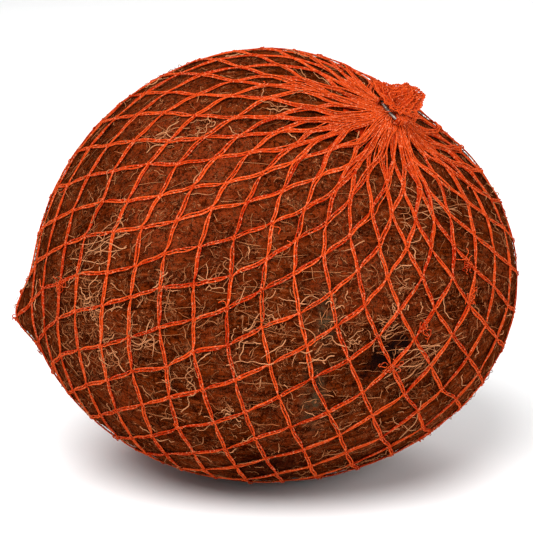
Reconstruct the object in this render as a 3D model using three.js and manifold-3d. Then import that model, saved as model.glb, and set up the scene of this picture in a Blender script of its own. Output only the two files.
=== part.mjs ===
// A coconut in the knitted net it is sold in. The net is a tube of diamond mesh drawn tight over
// the nut and gathered at both ends, and a bent wire clip closes each gather. The nut rests on a
// small flat spot, where its weight presses the yarns flat.
// Millimetres, +Z up. The model stands on z = 0, with the middle of its box over x = y = 0.
import * as THREE from "three";
import { mergeVertices } from "three/addons/utils/BufferGeometryUtils.js";
import Module from "manifold-3d";

const { MathUtils, Vector2, Vector3 } = THREE;

// ---- Driving dimensions ------------------------------------------------------------------

// The nut's outside is one radius for each direction from its centre: an ellipsoid with three
// faint lobes and a taper, and the shaping below.
const HUSK = {
  halfLength: 57.26,
  halfWidth: 51.22,
  halfHeightTop: 53.3,
  halfHeightBottom: 47.34,
  lobe: 0.026, // depth of the three lobes, as a share of the radius
  taper: -0.06, // the stalk end is the fuller one
  endSwell: 0.029, // fullness of both ends, growing with the cube of the distance
  flatZ: -45.4, // height of the resting flat, below the nut's centre
};
const SHAPING = [
  { towards: new Vector3(-0.987, 0.105, -0.123), height: 5.14, spread: 0.13 }, // the nub at the stalk
  { towards: new Vector3(-0.991, 0.134, -0.019), height: -1.06, spread: 0.09 }, // a dent above it
  { towards: new Vector3(-0.974, 0.079, -0.214), height: -0.93, spread: 0.068 }, // and one below it
  { towards: new Vector3(-0.957, 0.058, -0.283), height: 1.19, spread: 0.35 }, // fullness under those
  { towards: new Vector3(0.588, -0.128, 0.799), height: -3.3, spread: 0.42 }, // the flatter shoulder
];

// Relief of the fibre coat, cut inwards from that radius so that the net stays clear of it.
const RELIEF = { ridges: 15, ridgeDepth: 0.55, waves: 4, waveDepth: 0.35 };
const HOLLOWS = [
  { towards: new Vector3(0.245, -0.964, -0.104), depth: 2.2, spread: 0.1 },
  { towards: new Vector3(0.154, -0.975, -0.163), depth: 1.6, spread: 0.09 },
  { towards: new Vector3(0.465, -0.865, -0.24), depth: 1.2, spread: 0.08 },
  { towards: new Vector3(-0.398, -0.836, 0.36), depth: 1.0, spread: 0.11 },
  { towards: new Vector3(-0.35, 0.84, 0.3), depth: 1.5, spread: 0.12 },
  { towards: new Vector3(0.55, 0.75, -0.2), depth: 1.2, spread: 0.1 },
];
const HUSK_DETAIL = 14; // each side of the twenty first triangles is cut into this many, plus one

const NET = {
  columns: 28, // knots in one row, round the tube
  side: 9.2, // yarn length from one knot to the next
  yarnWidth: 1.0,
  yarnHeight: 0.9,
  pressedHeight: 0.45, // what is left of the yarn's height under the nut
  clearance: 0.45, // from the nut to the yarn's underside at a knot
  leastGap: 0.35, // the same, anywhere along a yarn
  mostGap: 1.0, // the same, at a knot away from the gathers
  neckRadius: 3.2, // radius of the first and last rows of knots
};
// How unevenly the net lies: angles round the gathers' axis, in radians.
const DRAPE = {
  firstTurn: 5.871, // where the first column starts
  twist: 0.131, // from one gather to the other
  bunchX: -0.095, // crowding of the columns towards one side
  bunchY: -0.233,
  rowShift: -0.019, // share of a column's length by which the middle rows sit nearer the top
};
const FLOOR_Z = HUSK.flatZ - NET.clearance - NET.pressedHeight;

// The gathers sit at the two ends of one axis through the nut's centre.
const AXIS = new Vector3(0.396, -0.42, 0.817).normalize();
const TOP_GATHER = {
  axis: AXIS.clone(),
  crown: new Vector3(0.46, -0.68, -0.56), // the way the clip's crown lies
  neck: 3.0, // height of the first row of knots above the nut
  waistHeight: 1.7, // from that row to the clip
  lean: 0,
  rim: { reach: 2.8, rise: 1.7, ruffles: 9, ruffleDepth: 0.3 },
  lobes: [
    { angle: 90, spread: 50, reach: 3.4, rise: 3.0 },
    { angle: 150, spread: 35, reach: 0.5, rise: 2.2 },
    { angle: 205, spread: 28, reach: 5.6, rise: 2.2 },
  ],
};
const BOTTOM_GATHER = {
  axis: AXIS.clone().negate(),
  crown: new Vector3(1, 0.6, 0),
  neck: 1.5,
  waistHeight: 1.7,
  lean: 2.4, // the tuft is bent up, clear of the table
  rim: { reach: 3.4, rise: 2.4, ruffles: 7, ruffleDepth: 0.4 },
  lobes: [],
};
const WAIST = { crownWise: 2.6, across: 1.1 }; // half sizes of the neck inside its clip
const SKIRT = { edge: 5.5, above: 0.5, below: 0.4 }; // the solid part of each gather
const FRILL_THICKNESS = 0.8;
const CLIP = { wire: 0.8, clearance: 0.35, mouth: 24 }; // the mouth is half the gap, in degrees

// Where the nut's centre stands above the table, and beside the middle of the model's box.
const CENTRE = new Vector3(4.24, -0.01, -FLOOR_Z);

// ---- Small helpers -----------------------------------------------------------------------

const wasm = await Module();
wasm.setup();

// A closed geometry as a solid that can be joined and cut.
function solidOf(geometry) {
  const bare = geometry.clone();
  bare.deleteAttribute("normal");
  bare.deleteAttribute("uv");
  const merged = mergeVertices(bare, 1e-4);
  return new wasm.Manifold(
    new wasm.Mesh({
      numProp: 3,
      vertProperties: new Float32Array(merged.attributes.position.array),
      triVerts: new Uint32Array(merged.index.array),
    }),
  );
}

// The geometry of a solid.
function geometryOf(solid) {
  const { vertProperties, triVerts } = solid.getMesh();
  const geometry = new THREE.BufferGeometry();
  geometry.setAttribute("position", new THREE.BufferAttribute(vertProperties, 3));
  geometry.setIndex(new THREE.BufferAttribute(triVerts, 1));
  geometry.computeVertexNormals();
  return geometry;
}

// An indexed geometry from a list of points and a list of triangles.
function geometryFrom(points, triangles) {
  const geometry = new THREE.BufferGeometry().setFromPoints(points);
  geometry.setIndex(triangles.flat());
  return geometry;
}

// 1 in the direction of a spot's middle, falling off smoothly over its spread in radians.
function falloff(direction, spot) {
  return Math.exp(-((direction.angleTo(spot.towards) / spot.spread) ** 2));
}

// Two unit vectors square to an axis and to each other, the first as near to the hint as can be.
function squareTo(axis, hint) {
  const along = hint.clone().projectOnPlane(axis).normalize();
  return [along, new Vector3().crossVectors(axis, along)];
}

// ---- The nut -----------------------------------------------------------------------------

// Smooth outer radius of the nut in a direction, which the net is drawn over.
function huskRadius(direction) {
  const { x, y, z } = direction;
  const halfHeight = MathUtils.lerp(HUSK.halfHeightBottom, HUSK.halfHeightTop, 0.5 + 0.5 * z);
  const ellipsoid = 1 / Math.hypot(x / HUSK.halfLength, y / HUSK.halfWidth, z / halfHeight);
  const lobes = 1 + HUSK.lobe * (y * y + z * z) * Math.cos(3 * Math.atan2(y, z));
  const ends = 1 + HUSK.taper * x + HUSK.endSwell * x ** 3;
  const smooth = ellipsoid * lobes * ends;
  return smooth + SHAPING.reduce((sum, spot) => sum + spot.height * falloff(direction, spot), 0);
}

// How deep the fibre coat's ridges, waves and hollows are in a direction.
function reliefDepth(direction) {
  const { x, y, z } = direction;
  const turn = Math.atan2(y, z);
  const away = Math.sqrt(y * y + z * z); // 0 at the two ends, where the ridges run together
  const ridge = 0.5 - 0.5 * Math.cos(RELIEF.ridges * turn + 1.6 * Math.sin(2.3 * x + turn));
  const wave = 0.5 - 0.5 * Math.cos(RELIEF.waves * turn + 5 * x);
  const hollows = HOLLOWS.reduce((sum, hollow) => sum + hollow.depth * falloff(direction, hollow), 0);
  return away * (RELIEF.ridgeDepth * ridge + RELIEF.waveDepth * wave) + hollows;
}

function makeCoconut() {
  const geometry = mergeVertices(spherePoints(), 1e-4);
  const position = geometry.attributes.position;
  for (let i = 0; i < position.count; i++) {
    const direction = new Vector3().fromBufferAttribute(position, i).normalize();
    const point = direction.clone().multiplyScalar(huskRadius(direction) - reliefDepth(direction));
    position.setXYZ(i, point.x, point.y, Math.max(point.z, HUSK.flatZ));
  }
  return geometry;
}

function spherePoints() {
  const sphere = new THREE.IcosahedronGeometry(1, HUSK_DETAIL);
  sphere.deleteAttribute("normal");
  sphere.deleteAttribute("uv");
  return sphere;
}

// ---- The net's mesh ----------------------------------------------------------------------

const topNeck = huskRadius(AXIS) + TOP_GATHER.neck;
const bottomNeck = huskRadius(AXIS.clone().negate()) + BOTTOM_GATHER.neck;

// A taut line over the nut from one neck to the other, in the half plane of the axis and a side
// direction. Its points are (distance from the axis, height along the axis).
function meridian(side, steps = 70) {
  const points = [new Vector2(NET.neckRadius, topNeck)];
  for (let k = 1; k < steps; k++) {
    const angle = (Math.PI * k) / steps;
    const direction = AXIS.clone().multiplyScalar(Math.cos(angle)).addScaledVector(side, Math.sin(angle));
    const reach = huskRadius(direction) + NET.clearance;
    points.push(new Vector2(reach * Math.sin(angle), reach * Math.cos(angle)));
  }
  points.push(new Vector2(NET.neckRadius, -bottomNeck));
  return measured(side, tautened(points));
}

// The points that a string pulled over the others from outside would touch.
function tautened(points) {
  const kept = [];
  for (const point of points) {
    while (kept.length > 1 && !bendsInwards(kept.at(-2), kept.at(-1), point)) kept.pop();
    kept.push(point);
  }
  return kept;
}

function bendsInwards(first, middle, last) {
  return middle.clone().sub(first).cross(last.clone().sub(first)) < 0;
}

function measured(side, points) {
  const lengths = [0];
  for (let i = 1; i < points.length; i++) lengths.push(lengths[i - 1] + points[i].distanceTo(points[i - 1]));
  return { side, points, lengths, total: lengths.at(-1) };
}

// The point at a distance along a taut line, as (distance from the axis, height).
function along(line, distance) {
  const last = line.lengths.findIndex((length) => length >= distance);
  const i = Math.max(last === -1 ? line.points.length - 1 : last, 1);
  const share = (distance - line.lengths[i - 1]) / (line.lengths[i] - line.lengths[i - 1]);
  return line.points[i - 1].clone().lerp(line.points[i], share);
}

function inSpace(line, flatPoint) {
  return AXIS.clone().multiplyScalar(flatPoint.y).addScaledVector(line.side, flatPoint.x);
}

// Where the rows of knots lie, as shares of a taut line. Every side of a cell has the same yarn
// length, so a row is low where the columns are far apart.
function rowShares(samples = 36) {
  const lines = Array.from({ length: samples }, (_, i) => meridian(sideAt((2 * Math.PI * i) / samples)));
  const length = lines.reduce((sum, line) => sum + line.total, 0) / samples;
  const radiusAt = (share) =>
    lines.reduce((sum, line) => sum + along(line, share * line.total).x, 0) / samples;
  const edges = [0];
  while (edges.at(-1) < length) {
    const middle = Math.min((edges.at(-1) + NET.side / 2) / length, 1);
    const halfCell = (Math.PI * radiusAt(middle)) / NET.columns;
    edges.push(edges.at(-1) + Math.sqrt(Math.max(NET.side ** 2 - halfCell ** 2, 4)));
  }
  const even = edges.map((edge) => edge / edges.at(-1));
  return even.map((share) => share + DRAPE.rowShift * Math.sin(Math.PI * share));
}

// Unit vector square to the gathers' axis, at an angle round it.
function sideAt(angle) {
  const [first, second] = squareTo(AXIS, new Vector3().crossVectors(AXIS, new Vector3(0, 0, 1)));
  return first.multiplyScalar(Math.cos(angle)).addScaledVector(second, Math.sin(angle));
}

// Angle of a column round the axis, at a share of the way from the top gather to the bottom one.
function turnOf(column, share) {
  const even = DRAPE.firstTurn + (Math.PI * column) / NET.columns + DRAPE.twist * (share - 0.5);
  return even + DRAPE.bunchX * Math.cos(even) + DRAPE.bunchY * Math.sin(even);
}

// knots[row][column], with a knot in every second column, staggered from row to row.
function makeKnots() {
  const knotAt = (share, column) => {
    const line = meridian(sideAt(turnOf(column, share)));
    return inSpace(line, along(line, share * line.total));
  };
  const knots = rowShares().map((share, row) =>
    Array.from({ length: 2 * NET.columns }, (_, column) =>
      (row + column) % 2 ? null : knotAt(share, column),
    ),
  );
  for (const knot of knots.slice(2, -2).flat()) if (knot) holdDown(knot);
  liftClear(knots);
  for (const knot of knots.flat()) if (knot) knot.z = Math.max(knot.z, HUSK.flatZ - NET.clearance);
  return knots;
}

// Every pair of knots that one yarn joins.
function* yarns(knots) {
  const columns = knots[0].length;
  for (let row = 0; row + 1 < knots.length; row++)
    for (let column = 0; column < columns; column++) {
      if (!knots[row][column]) continue;
      yield [knots[row][column], knots[row + 1][(column + 1) % columns]];
      yield [knots[row][column], knots[row + 1][(column + columns - 1) % columns]];
    }
}

// Brings a knot in towards the nut where the taut net would stand off too far.
function holdDown(knot) {
  const most = huskRadius(knot.clone().normalize()) + NET.mostGap;
  if (knot.length() > most) knot.setLength(most);
}

// Moves knots outwards until no straight yarn between them comes too near the nut.
function liftClear(knots, passes = 12) {
  for (let pass = 0; pass < passes; pass++)
    for (const [start, end] of yarns(knots))
      for (const share of [0.25, 0.5, 0.75]) {
        const point = start.clone().lerp(end, share);
        const outwards = point.clone().normalize();
        const shortfall = huskRadius(outwards) + NET.leastGap - point.length();
        if (shortfall <= 0) continue;
        start.addScaledVector(outwards, shortfall * (1 - share));
        end.addScaledVector(outwards, shortfall * share);
      }
}

// ---- The net's yarns ---------------------------------------------------------------------

// The four knots that a knot's yarns lead to. Past the first and last row, the yarn on the other
// side of the knot is carried on straight.
function neighboursOf(knots, row, column) {
  const columns = knots[0].length;
  const at = (rowStep, columnStep) => knots[row + rowStep]?.[(column + columnStep + columns) % columns];
  const knot = knots[row][column];
  const mirrored = (other) => knot.clone().multiplyScalar(2).sub(other);
  return {
    downRight: at(1, 1) ?? mirrored(at(-1, -1)),
    downLeft: at(1, -1) ?? mirrored(at(-1, 1)),
    upRight: at(-1, 1) ?? mirrored(at(1, -1)),
    upLeft: at(-1, -1) ?? mirrored(at(1, 1)),
  };
}

// Outward direction of the net at a knot.
function normalAt({ downRight, downLeft, upRight, upLeft }) {
  const rightwards = downRight.clone().add(upRight).sub(downLeft).sub(upLeft);
  const upwards = upRight.clone().add(upLeft).sub(downRight).sub(downLeft);
  return rightwards.cross(upwards).normalize();
}

// The point on a knot's underside where the edges of two neighbouring yarns meet.
function cornerBetween(knot, normal, first, second, halfWidth) {
  const ways = [first, second].map((other) => other.clone().sub(knot));
  const slope = ways.reduce((sum, way) => {
    const rise = way.dot(normal);
    return sum + rise / Math.sqrt(way.lengthSq() - rise * rise) / 2;
  }, 0);
  const flat = ways.map((way) => way.clone().projectOnPlane(normal).normalize());
  const middle = flat[0].clone().add(flat[1]).normalize();
  const halfAngle = Math.max(flat[0].angleTo(middle), 0.01);
  const reach = Math.min(halfWidth / Math.sin(halfAngle), 0.4 * NET.side);
  return knot
    .clone()
    .addScaledVector(middle, reach)
    .addScaledVector(normal, slope * reach * Math.cos(halfAngle));
}

// One closed mesh of ridged yarns. Each knot has a top point and an underside corner between
// each two neighbouring yarns, and each yarn has two sloping faces and an underside.
function makeMesh(knots) {
  const points = [];
  const triangles = [];
  const columns = knots[0].length;
  const corners = knots.map((line, row) =>
    line.map((knot, column) => knot && knotPoints(knots, row, column, points)),
  );
  const quad = (a, b, c, d) => triangles.push([a, b, c], [a, c, d]);
  for (let row = 0; row < knots.length; row++)
    for (let column = 0; column < columns; column++) {
      const here = corners[row][column];
      if (!here) continue;
      closeKnot(here, row === 0, row === knots.length - 1, triangles);
      if (row === knots.length - 1) continue;
      const right = corners[row + 1][(column + 1) % columns];
      const left = corners[row + 1][(column + columns - 1) % columns];
      quad(here.top, right.top, right.north, here.east);
      quad(here.top, here.south, right.west, right.top);
      quad(here.east, right.north, right.west, here.south);
      quad(here.top, left.top, left.east, here.south);
      quad(here.top, here.west, left.north, left.top);
      quad(here.south, left.east, left.north, here.west);
    }
  return geometryFrom(points, triangles);
}

// Adds a knot's points and gives their places in the list.
function knotPoints(knots, row, column, points) {
  const knot = knots[row][column];
  const near = neighboursOf(knots, row, column);
  const normal = normalAt(near);
  const fromAxis = knot.clone().projectOnPlane(AXIS).length();
  const room = (2 * Math.PI * fromAxis) / NET.columns; // between two knots of the row
  const halfWidth = Math.min(NET.yarnWidth / 2, 0.36 * room);
  const height = (NET.yarnHeight * halfWidth * 2) / NET.yarnWidth;
  const corner = (first, second) => cornerBetween(knot, normal, near[first], near[second], halfWidth);
  const add = (point) => points.push(point) - 1;
  return {
    top: add(knot.clone().addScaledVector(normal, height)),
    east: add(corner("downRight", "upRight")),
    north: row > 0 ? add(corner("upRight", "upLeft")) : null,
    west: add(corner("upLeft", "downLeft")),
    south: row < knots.length - 1 ? add(corner("downLeft", "downRight")) : null,
  };
}

function closeKnot({ top, east, north, west, south }, isFirst, isLast, triangles) {
  if (isFirst) triangles.push([east, south, west], [top, east, west]);
  else if (isLast) triangles.push([west, north, east], [top, west, east]);
  else triangles.push([east, south, west], [east, west, north]);
}

// ---- The gathers -------------------------------------------------------------------------

// A closed surface through rings of points, which run from the middle of its underside outwards,
// up, over and back in to the middle of its top.
function loft(rings) {
  const count = rings[0].length;
  const points = rings.flat();
  const triangles = [];
  for (let ring = 0; ring + 1 < rings.length; ring++)
    for (let i = 0; i < count; i++) {
      const [a, b] = [ring * count + i, ring * count + ((i + 1) % count)];
      triangles.push([a, b, b + count], [a, b + count, a + count]);
    }
  for (const [ring, start] of [[0, 0], [rings.length - 1, (rings.length - 1) * count]]) {
    const middle = rings[ring].reduce((sum, p) => sum.add(p), new Vector3()).divideScalar(count);
    points.push(middle);
    for (let i = 0; i < count; i++) {
      const [a, b] = [start + i, start + ((i + 1) % count)];
      triangles.push(ring ? [a, b, points.length - 1] : [b, a, points.length - 1]);
    }
  }
  return geometryFrom(points, triangles);
}

// Height of the clip's plane above the nut's centre, along the gather's axis.
function waistAt(gather) {
  return huskRadius(gather.axis) + gather.neck + gather.waistHeight;
}

// The gathered yarns: a skirt under the drawn mesh, a waist inside the clip and a ruffled frill.
function makeGather(gather, sides = 28) {
  const [crownWise, across] = squareTo(gather.axis, gather.crown);
  const [, uphill] = squareTo(gather.axis, new Vector3().crossVectors(new Vector3(0, 0, 1), gather.axis));
  const isTop = gather.axis.dot(AXIS) > 0;
  const waist = waistAt(gather);
  const angles = Array.from({ length: sides }, (_, i) => (2 * Math.PI * i) / sides);
  const outwards = (angle) =>
    crownWise.clone().multiplyScalar(Math.cos(angle)).addScaledVector(across, Math.sin(angle));
  const lines = angles.map((angle) => meridian(outwards(angle)));

  // A ring on the drawn mesh, at a distance from the neck and raised along the axis.
  const skirtRing = (distance, lift) =>
    lines.map((line) =>
      inSpace(line, along(line, isTop ? distance : line.total - distance)).addScaledVector(gather.axis, lift),
    );
  // A ring round the axis, at a height above the clip's plane.
  const ring = (reachOf, heightOf) =>
    angles.map((angle) => {
      const height = heightOf(angle);
      return outwards(angle)
        .multiplyScalar(reachOf(angle))
        .addScaledVector(gather.axis, waist + height)
        .addScaledVector(uphill, (gather.lean * Math.max(height - CLIP.wire, 0)) / gather.rim.rise);
    });
  const waistReach = (angle) =>
    1 / Math.hypot(Math.cos(angle) / WAIST.crownWise, Math.sin(angle) / WAIST.across);
  const rimReach = (angle) =>
    frill(gather, angle, "reach") + gather.rim.ruffleDepth * Math.sin(gather.rim.ruffles * angle);
  const rimRise = (angle) => frill(gather, angle, "rise");
  const flare = (share, inset) => (angle) =>
    MathUtils.lerp(waistReach(angle), rimReach(angle), share) - inset;

  return loft([
    skirtRing(2.5, -SKIRT.below),
    skirtRing(SKIRT.edge, -SKIRT.below),
    skirtRing(SKIRT.edge, SKIRT.above),
    skirtRing(0, SKIRT.above + 0.35),
    ring(waistReach, () => -CLIP.wire),
    ring(waistReach, () => CLIP.wire),
    ring(flare(0.45, 0), (angle) => 0.55 * rimRise(angle)),
    ring(flare(1, 0), rimRise),
    ring(flare(1, FRILL_THICKNESS), (angle) => rimRise(angle) + 0.2),
    ring(flare(0.4, FRILL_THICKNESS), (angle) => 0.6 * rimRise(angle) + 0.5),
    ring(() => 0.5, () => CLIP.wire + 0.6),
  ]);
}

// Reach or rise of the frill's rim at an angle: the plain rim with its lobes added.
function frill(gather, angle, measure) {
  return gather.lobes.reduce((sum, lobe) => {
    const apart = MathUtils.euclideanModulo(MathUtils.radToDeg(angle) - lobe.angle + 180, 360) - 180;
    return sum + lobe[measure] * Math.exp(-((apart / lobe.spread) ** 2));
  }, gather.rim[measure]);
}

function makeNet() {
  const mesh = solidOf(makeMesh(makeKnots()));
  const gathers = [TOP_GATHER, BOTTOM_GATHER].map((gather) => solidOf(makeGather(gather)));
  const below = new THREE.BoxGeometry(200, 200, 20).translate(0, 0, FLOOR_Z - 10);
  return geometryOf(mesh.add(gathers[0]).add(gathers[1]).subtract(solidOf(below)));
}

// ---- The clips ---------------------------------------------------------------------------

// The wire's middle line: a flat loop round the waist, open at the back where the legs meet.
class ClipPath extends THREE.Curve {
  constructor(gather) {
    super();
    [this.crownWise, this.across] = squareTo(gather.axis, gather.crown);
    this.middle = gather.axis.clone().multiplyScalar(waistAt(gather));
    this.slack = CLIP.clearance + CLIP.wire / 2;
  }
  getPoint(share) {
    const angle = MathUtils.degToRad(90 + CLIP.mouth + share * (360 - 2 * CLIP.mouth));
    return this.middle
      .clone()
      .addScaledVector(this.crownWise, (WAIST.crownWise + this.slack) * squared(Math.cos(angle)))
      .addScaledVector(this.across, (WAIST.across + this.slack) * squared(Math.sin(angle)));
  }
}

// Pushes a cosine or sine towards 1 or -1, which turns a circle into a round-cornered square.
function squared(value) {
  return Math.sign(value) * Math.abs(value) ** 0.6;
}

function makeClip(gather) {
  const section = new THREE.Shape().absarc(0, 0, CLIP.wire / 2, 0, 2 * Math.PI);
  return new THREE.ExtrudeGeometry(section, {
    steps: 30,
    curveSegments: 4,
    bevelEnabled: false,
    extrudePath: new ClipPath(gather),
  });
}

// ---- The model ---------------------------------------------------------------------------

const FINISHES = {
  husk: new THREE.MeshStandardMaterial({ color: 0x5a3018, roughness: 0.95, metalness: 0 }),
  net: new THREE.MeshStandardMaterial({ color: 0xe04a22, roughness: 0.5, metalness: 0 }),
  wire: new THREE.MeshStandardMaterial({ color: 0x8a8078, roughness: 0.4, metalness: 0.9 }),
};

function piece(name, geometry, material) {
  const mesh = new THREE.Mesh(geometry, material);
  mesh.name = name;
  return mesh;
}

const nettedCoconut = new THREE.Group();
nettedCoconut.position.copy(CENTRE);
nettedCoconut.add(
  piece("coconut", makeCoconut(), FINISHES.husk),
  piece("net", makeNet(), FINISHES.net),
  piece("top_clip", makeClip(TOP_GATHER), FINISHES.wire),
  piece("bottom_clip", makeClip(BOTTOM_GATHER), FINISHES.wire),
);

export default nettedCoconut;
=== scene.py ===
"""A coconut in the knitted net it is sold in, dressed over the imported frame.

The nut has a fibrous coat with loose curled hairs. The net's yarns are two plastic threads each,
bound by a thinner one and tied at every knot, and a wire clip closes each end. Shapes are worked
out in millimetres from the nut's centre, and in_frame turns them into metres of the frame.
"""

import logging
import math
from collections.abc import Sequence
from dataclasses import dataclass, field
from enum import Enum
from typing import Any

import bpy
import numpy as np
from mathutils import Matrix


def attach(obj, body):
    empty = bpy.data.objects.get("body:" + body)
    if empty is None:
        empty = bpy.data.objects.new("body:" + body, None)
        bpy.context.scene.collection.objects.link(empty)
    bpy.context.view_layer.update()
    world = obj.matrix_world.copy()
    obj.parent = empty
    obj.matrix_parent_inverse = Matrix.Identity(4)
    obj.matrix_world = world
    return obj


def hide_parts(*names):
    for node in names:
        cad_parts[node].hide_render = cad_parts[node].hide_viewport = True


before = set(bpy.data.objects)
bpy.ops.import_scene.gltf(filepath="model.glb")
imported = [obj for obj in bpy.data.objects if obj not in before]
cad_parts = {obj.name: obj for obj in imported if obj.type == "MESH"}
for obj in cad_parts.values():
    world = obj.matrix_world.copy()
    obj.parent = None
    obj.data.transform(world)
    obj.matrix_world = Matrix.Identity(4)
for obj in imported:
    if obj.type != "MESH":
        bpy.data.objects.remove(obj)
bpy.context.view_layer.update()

log = logging.getLogger("netted_coconut")

MM = 0.001
CM2_PER_M2 = 1e4
FULL_TURN = 2 * math.pi
NUT_CENTRE = np.array((4.24, -0.01, 46.3))  # in the row frame, in millimetres
NUT_MIDDLE = np.array((0.0, 0.0, 0.05))  # what the lamps face, in metres of the row frame
FLOOR_Z = -NUT_CENTRE[2]  # the table, below the nut's centre

Array = np.ndarray
Triple = tuple[float, float, float]
Place = tuple[int, int]  # row and column of a knot
Step = tuple[Place, Place, int]  # both knots of a yarn, and 1 if it heads right or -1 if left
Piece = bpy.types.Object
Material = bpy.types.Material
Random = np.random.Generator


# ---- Vectors and noise ----


def unit(vectors: Array | Triple) -> Array:
    """Vectors at length 1."""
    vectors = np.asarray(vectors, float)
    return vectors / np.maximum(np.linalg.norm(vectors, axis=-1, keepdims=True), 1e-12)


AXIS = unit((0.396, -0.42, 0.817))  # from the nut's centre to the upper gather


def square_to(axis: Array, hint: Array | Triple) -> tuple[Array, Array]:
    """Two unit vectors square to an axis and to each other.

    Args:
        axis: The unit axis.
        hint: The first vector comes as near to this as it can.

    Returns:
        The vector along the hint, and the one square to it.
    """
    hint = np.asarray(hint, float)
    along = unit(hint - axis * (hint @ axis))
    return along, np.cross(axis, along)


def swung(first: Array, second: Array, angle: float | Array) -> Array:
    """A vector turned by each angle towards a second one that is square to it."""
    angle = np.asarray(angle, float)[..., None]
    return np.cos(angle) * first + np.sin(angle) * second


def in_frame(points: Array | Triple) -> Array:
    """Points from millimetres round the nut's centre to metres of the row frame."""
    return (np.asarray(points) + NUT_CENTRE) * MM


def smooth_noise(rng: Random, count: int, bends: int) -> Array:
    """A smooth random line between -1 and 1.

    Args:
        rng: Source of the random numbers.
        count: Points on the line.
        bends: Turning points on the line.

    Returns:
        The line's values.
    """
    values = rng.uniform(-1, 1, bends + 3)
    place = np.linspace(0, bends - 1e-6, count)
    cell = place.astype(int)
    t = place - cell
    p0, p1, p2, p3 = (values[cell + i] for i in range(4))
    return 0.5 * (
        2 * p1 + (p2 - p0) * t + (2 * p0 - 5 * p1 + 4 * p2 - p3) * t**2 + (3 * p1 - p0 - 3 * p2 + p3) * t**3
    )


# ---- Node graphs ----


class Link:
    """A node's output socket, on which sums are written as Python expressions."""

    def __init__(self, graph: "Graph", socket: bpy.types.NodeSocket) -> None:
        """Wraps a socket of a graph."""
        self.graph = graph
        self.socket = socket

    def _join(self, operation: str, first: Any, second: Any) -> "Link":
        """Adds the Math or Vector Math node for an operation on two values."""
        wide = [is_vector(first), is_vector(second)]
        if not any(wide):
            return self.graph.node("ShaderNodeMath", {"operation": operation}, {0: first, 1: second})
        if operation == "MULTIPLY" and not all(wide):
            vector, number = (first, second) if wide[0] else (second, first)
            operation, values = "SCALE", {0: vector, "Scale": number}
        else:
            values = {0: first, 1: second}
        return self.graph.node("ShaderNodeVectorMath", {"operation": operation}, values)

    def __add__(self, other: Any) -> "Link":
        """This plus other."""
        return self._join("ADD", self, other)

    __radd__ = __add__

    def __sub__(self, other: Any) -> "Link":
        """This minus other."""
        return self._join("SUBTRACT", self, other)

    def __rsub__(self, other: Any) -> "Link":
        """Other minus this."""
        return self._join("SUBTRACT", other, self)

    def __mul__(self, other: Any) -> "Link":
        """This times other."""
        return self._join("MULTIPLY", self, other)

    __rmul__ = __mul__

    def __truediv__(self, other: Any) -> "Link":
        """This divided by other."""
        return self._join("DIVIDE", self, other)

    def __rtruediv__(self, other: Any) -> "Link":
        """Other divided by this."""
        return self._join("DIVIDE", other, self)

    def maths(self, operation: str, other: Any = None) -> "Link":
        """Any other operation of the Math node, with this as the first value."""
        values = {0: self} if other is None else {0: self, 1: other}
        return self.graph.node("ShaderNodeMath", {"operation": operation}, values)

    def between(self, low: float, high: float) -> "Link":
        """0 below low and 1 above high, with a smooth step from one to the other."""
        settings = {"interpolation_type": "SMOOTHSTEP"}
        values = {"Value": self, "From Min": low, "From Max": high}
        return self.graph.node("ShaderNodeMapRange", settings, values)

    def blend(self, low: Any, high: Any) -> "Link":
        """The colour low where this is 0, and high where it is 1."""
        return self.graph.node("ShaderNodeMix", {"data_type": "RGBA"}, {"Factor": self, "A": low, "B": high})


def is_vector(value: Any) -> bool:
    """True for a colour, a vector or a socket that carries one."""
    if isinstance(value, Link):
        return value.socket.type in {"VECTOR", "RGBA"}
    return isinstance(value, (tuple, list))


class Graph:
    """A node tree that is filled through one method."""

    def __init__(self, tree: bpy.types.NodeTree) -> None:
        """Starts with an empty tree."""
        self.tree = tree
        tree.nodes.clear()

    def node(
        self, kind: str, settings: dict[str, Any] | None = None,
        inputs: dict[str | int, Any] | None = None, output: str | None = None,
    ) -> Link:
        """Adds a node.

        Args:
            kind: Blender's name for the node type.
            settings: The node's properties.
            inputs: Values or links for its sockets, by name or by place.
            output: Name of the output wanted, or the first one in use.

        Returns:
            The output as a link.
        """
        node = self.tree.nodes.new(kind)
        for name, value in (settings or {}).items():
            setattr(node, name, value)
        for key, value in (inputs or {}).items():
            socket = self._find(node.inputs, key)
            if isinstance(value, Link):
                self.tree.links.new(value.socket, socket)
            elif socket.type == "RGBA" and len(value) == 3:
                socket.default_value = (*value, 1.0)
            else:
                socket.default_value = value
        return Link(self, self._find(node.outputs, output if output is not None else 0))

    def noise(
        self, place: Link, size: Any, detail: float = 3.0, rough: float = 0.55, warp: float = 0.0,
        seed: Any = None, output: str = "Fac",
    ) -> Link:
        """Smooth noise from 0 to 1.

        Args:
            place: Where it is read.
            size: How far across its lumps are, in the place's units.
            detail: How many finer layers lie over the lumps.
            rough: How strong each finer layer is.
            warp: How far the lumps are pulled out of shape.
            seed: Picks one of several noises.
            output: "Fac" for one number, "Color" for three.

        Returns:
            The noise.
        """
        settings = {}
        values = {"Vector": place, "Scale": 1 / size, "Detail": detail}
        values |= {"Roughness": rough, "Distortion": warp}
        if seed is not None:
            settings["noise_dimensions"] = "4D"
            values["W"] = seed
        return self.node("ShaderNodeTexNoise", settings, values, output)

    @staticmethod
    def _find(sockets: Any, key: str | int) -> bpy.types.NodeSocket:
        """The socket in use that has a name, or that stands at a place."""
        in_use = [s for s in sockets if s.enabled]
        if isinstance(key, int):
            return in_use[key]
        return next(s for s in in_use if key in (s.name, s.identifier))


# ---- Finishes ----


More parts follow.
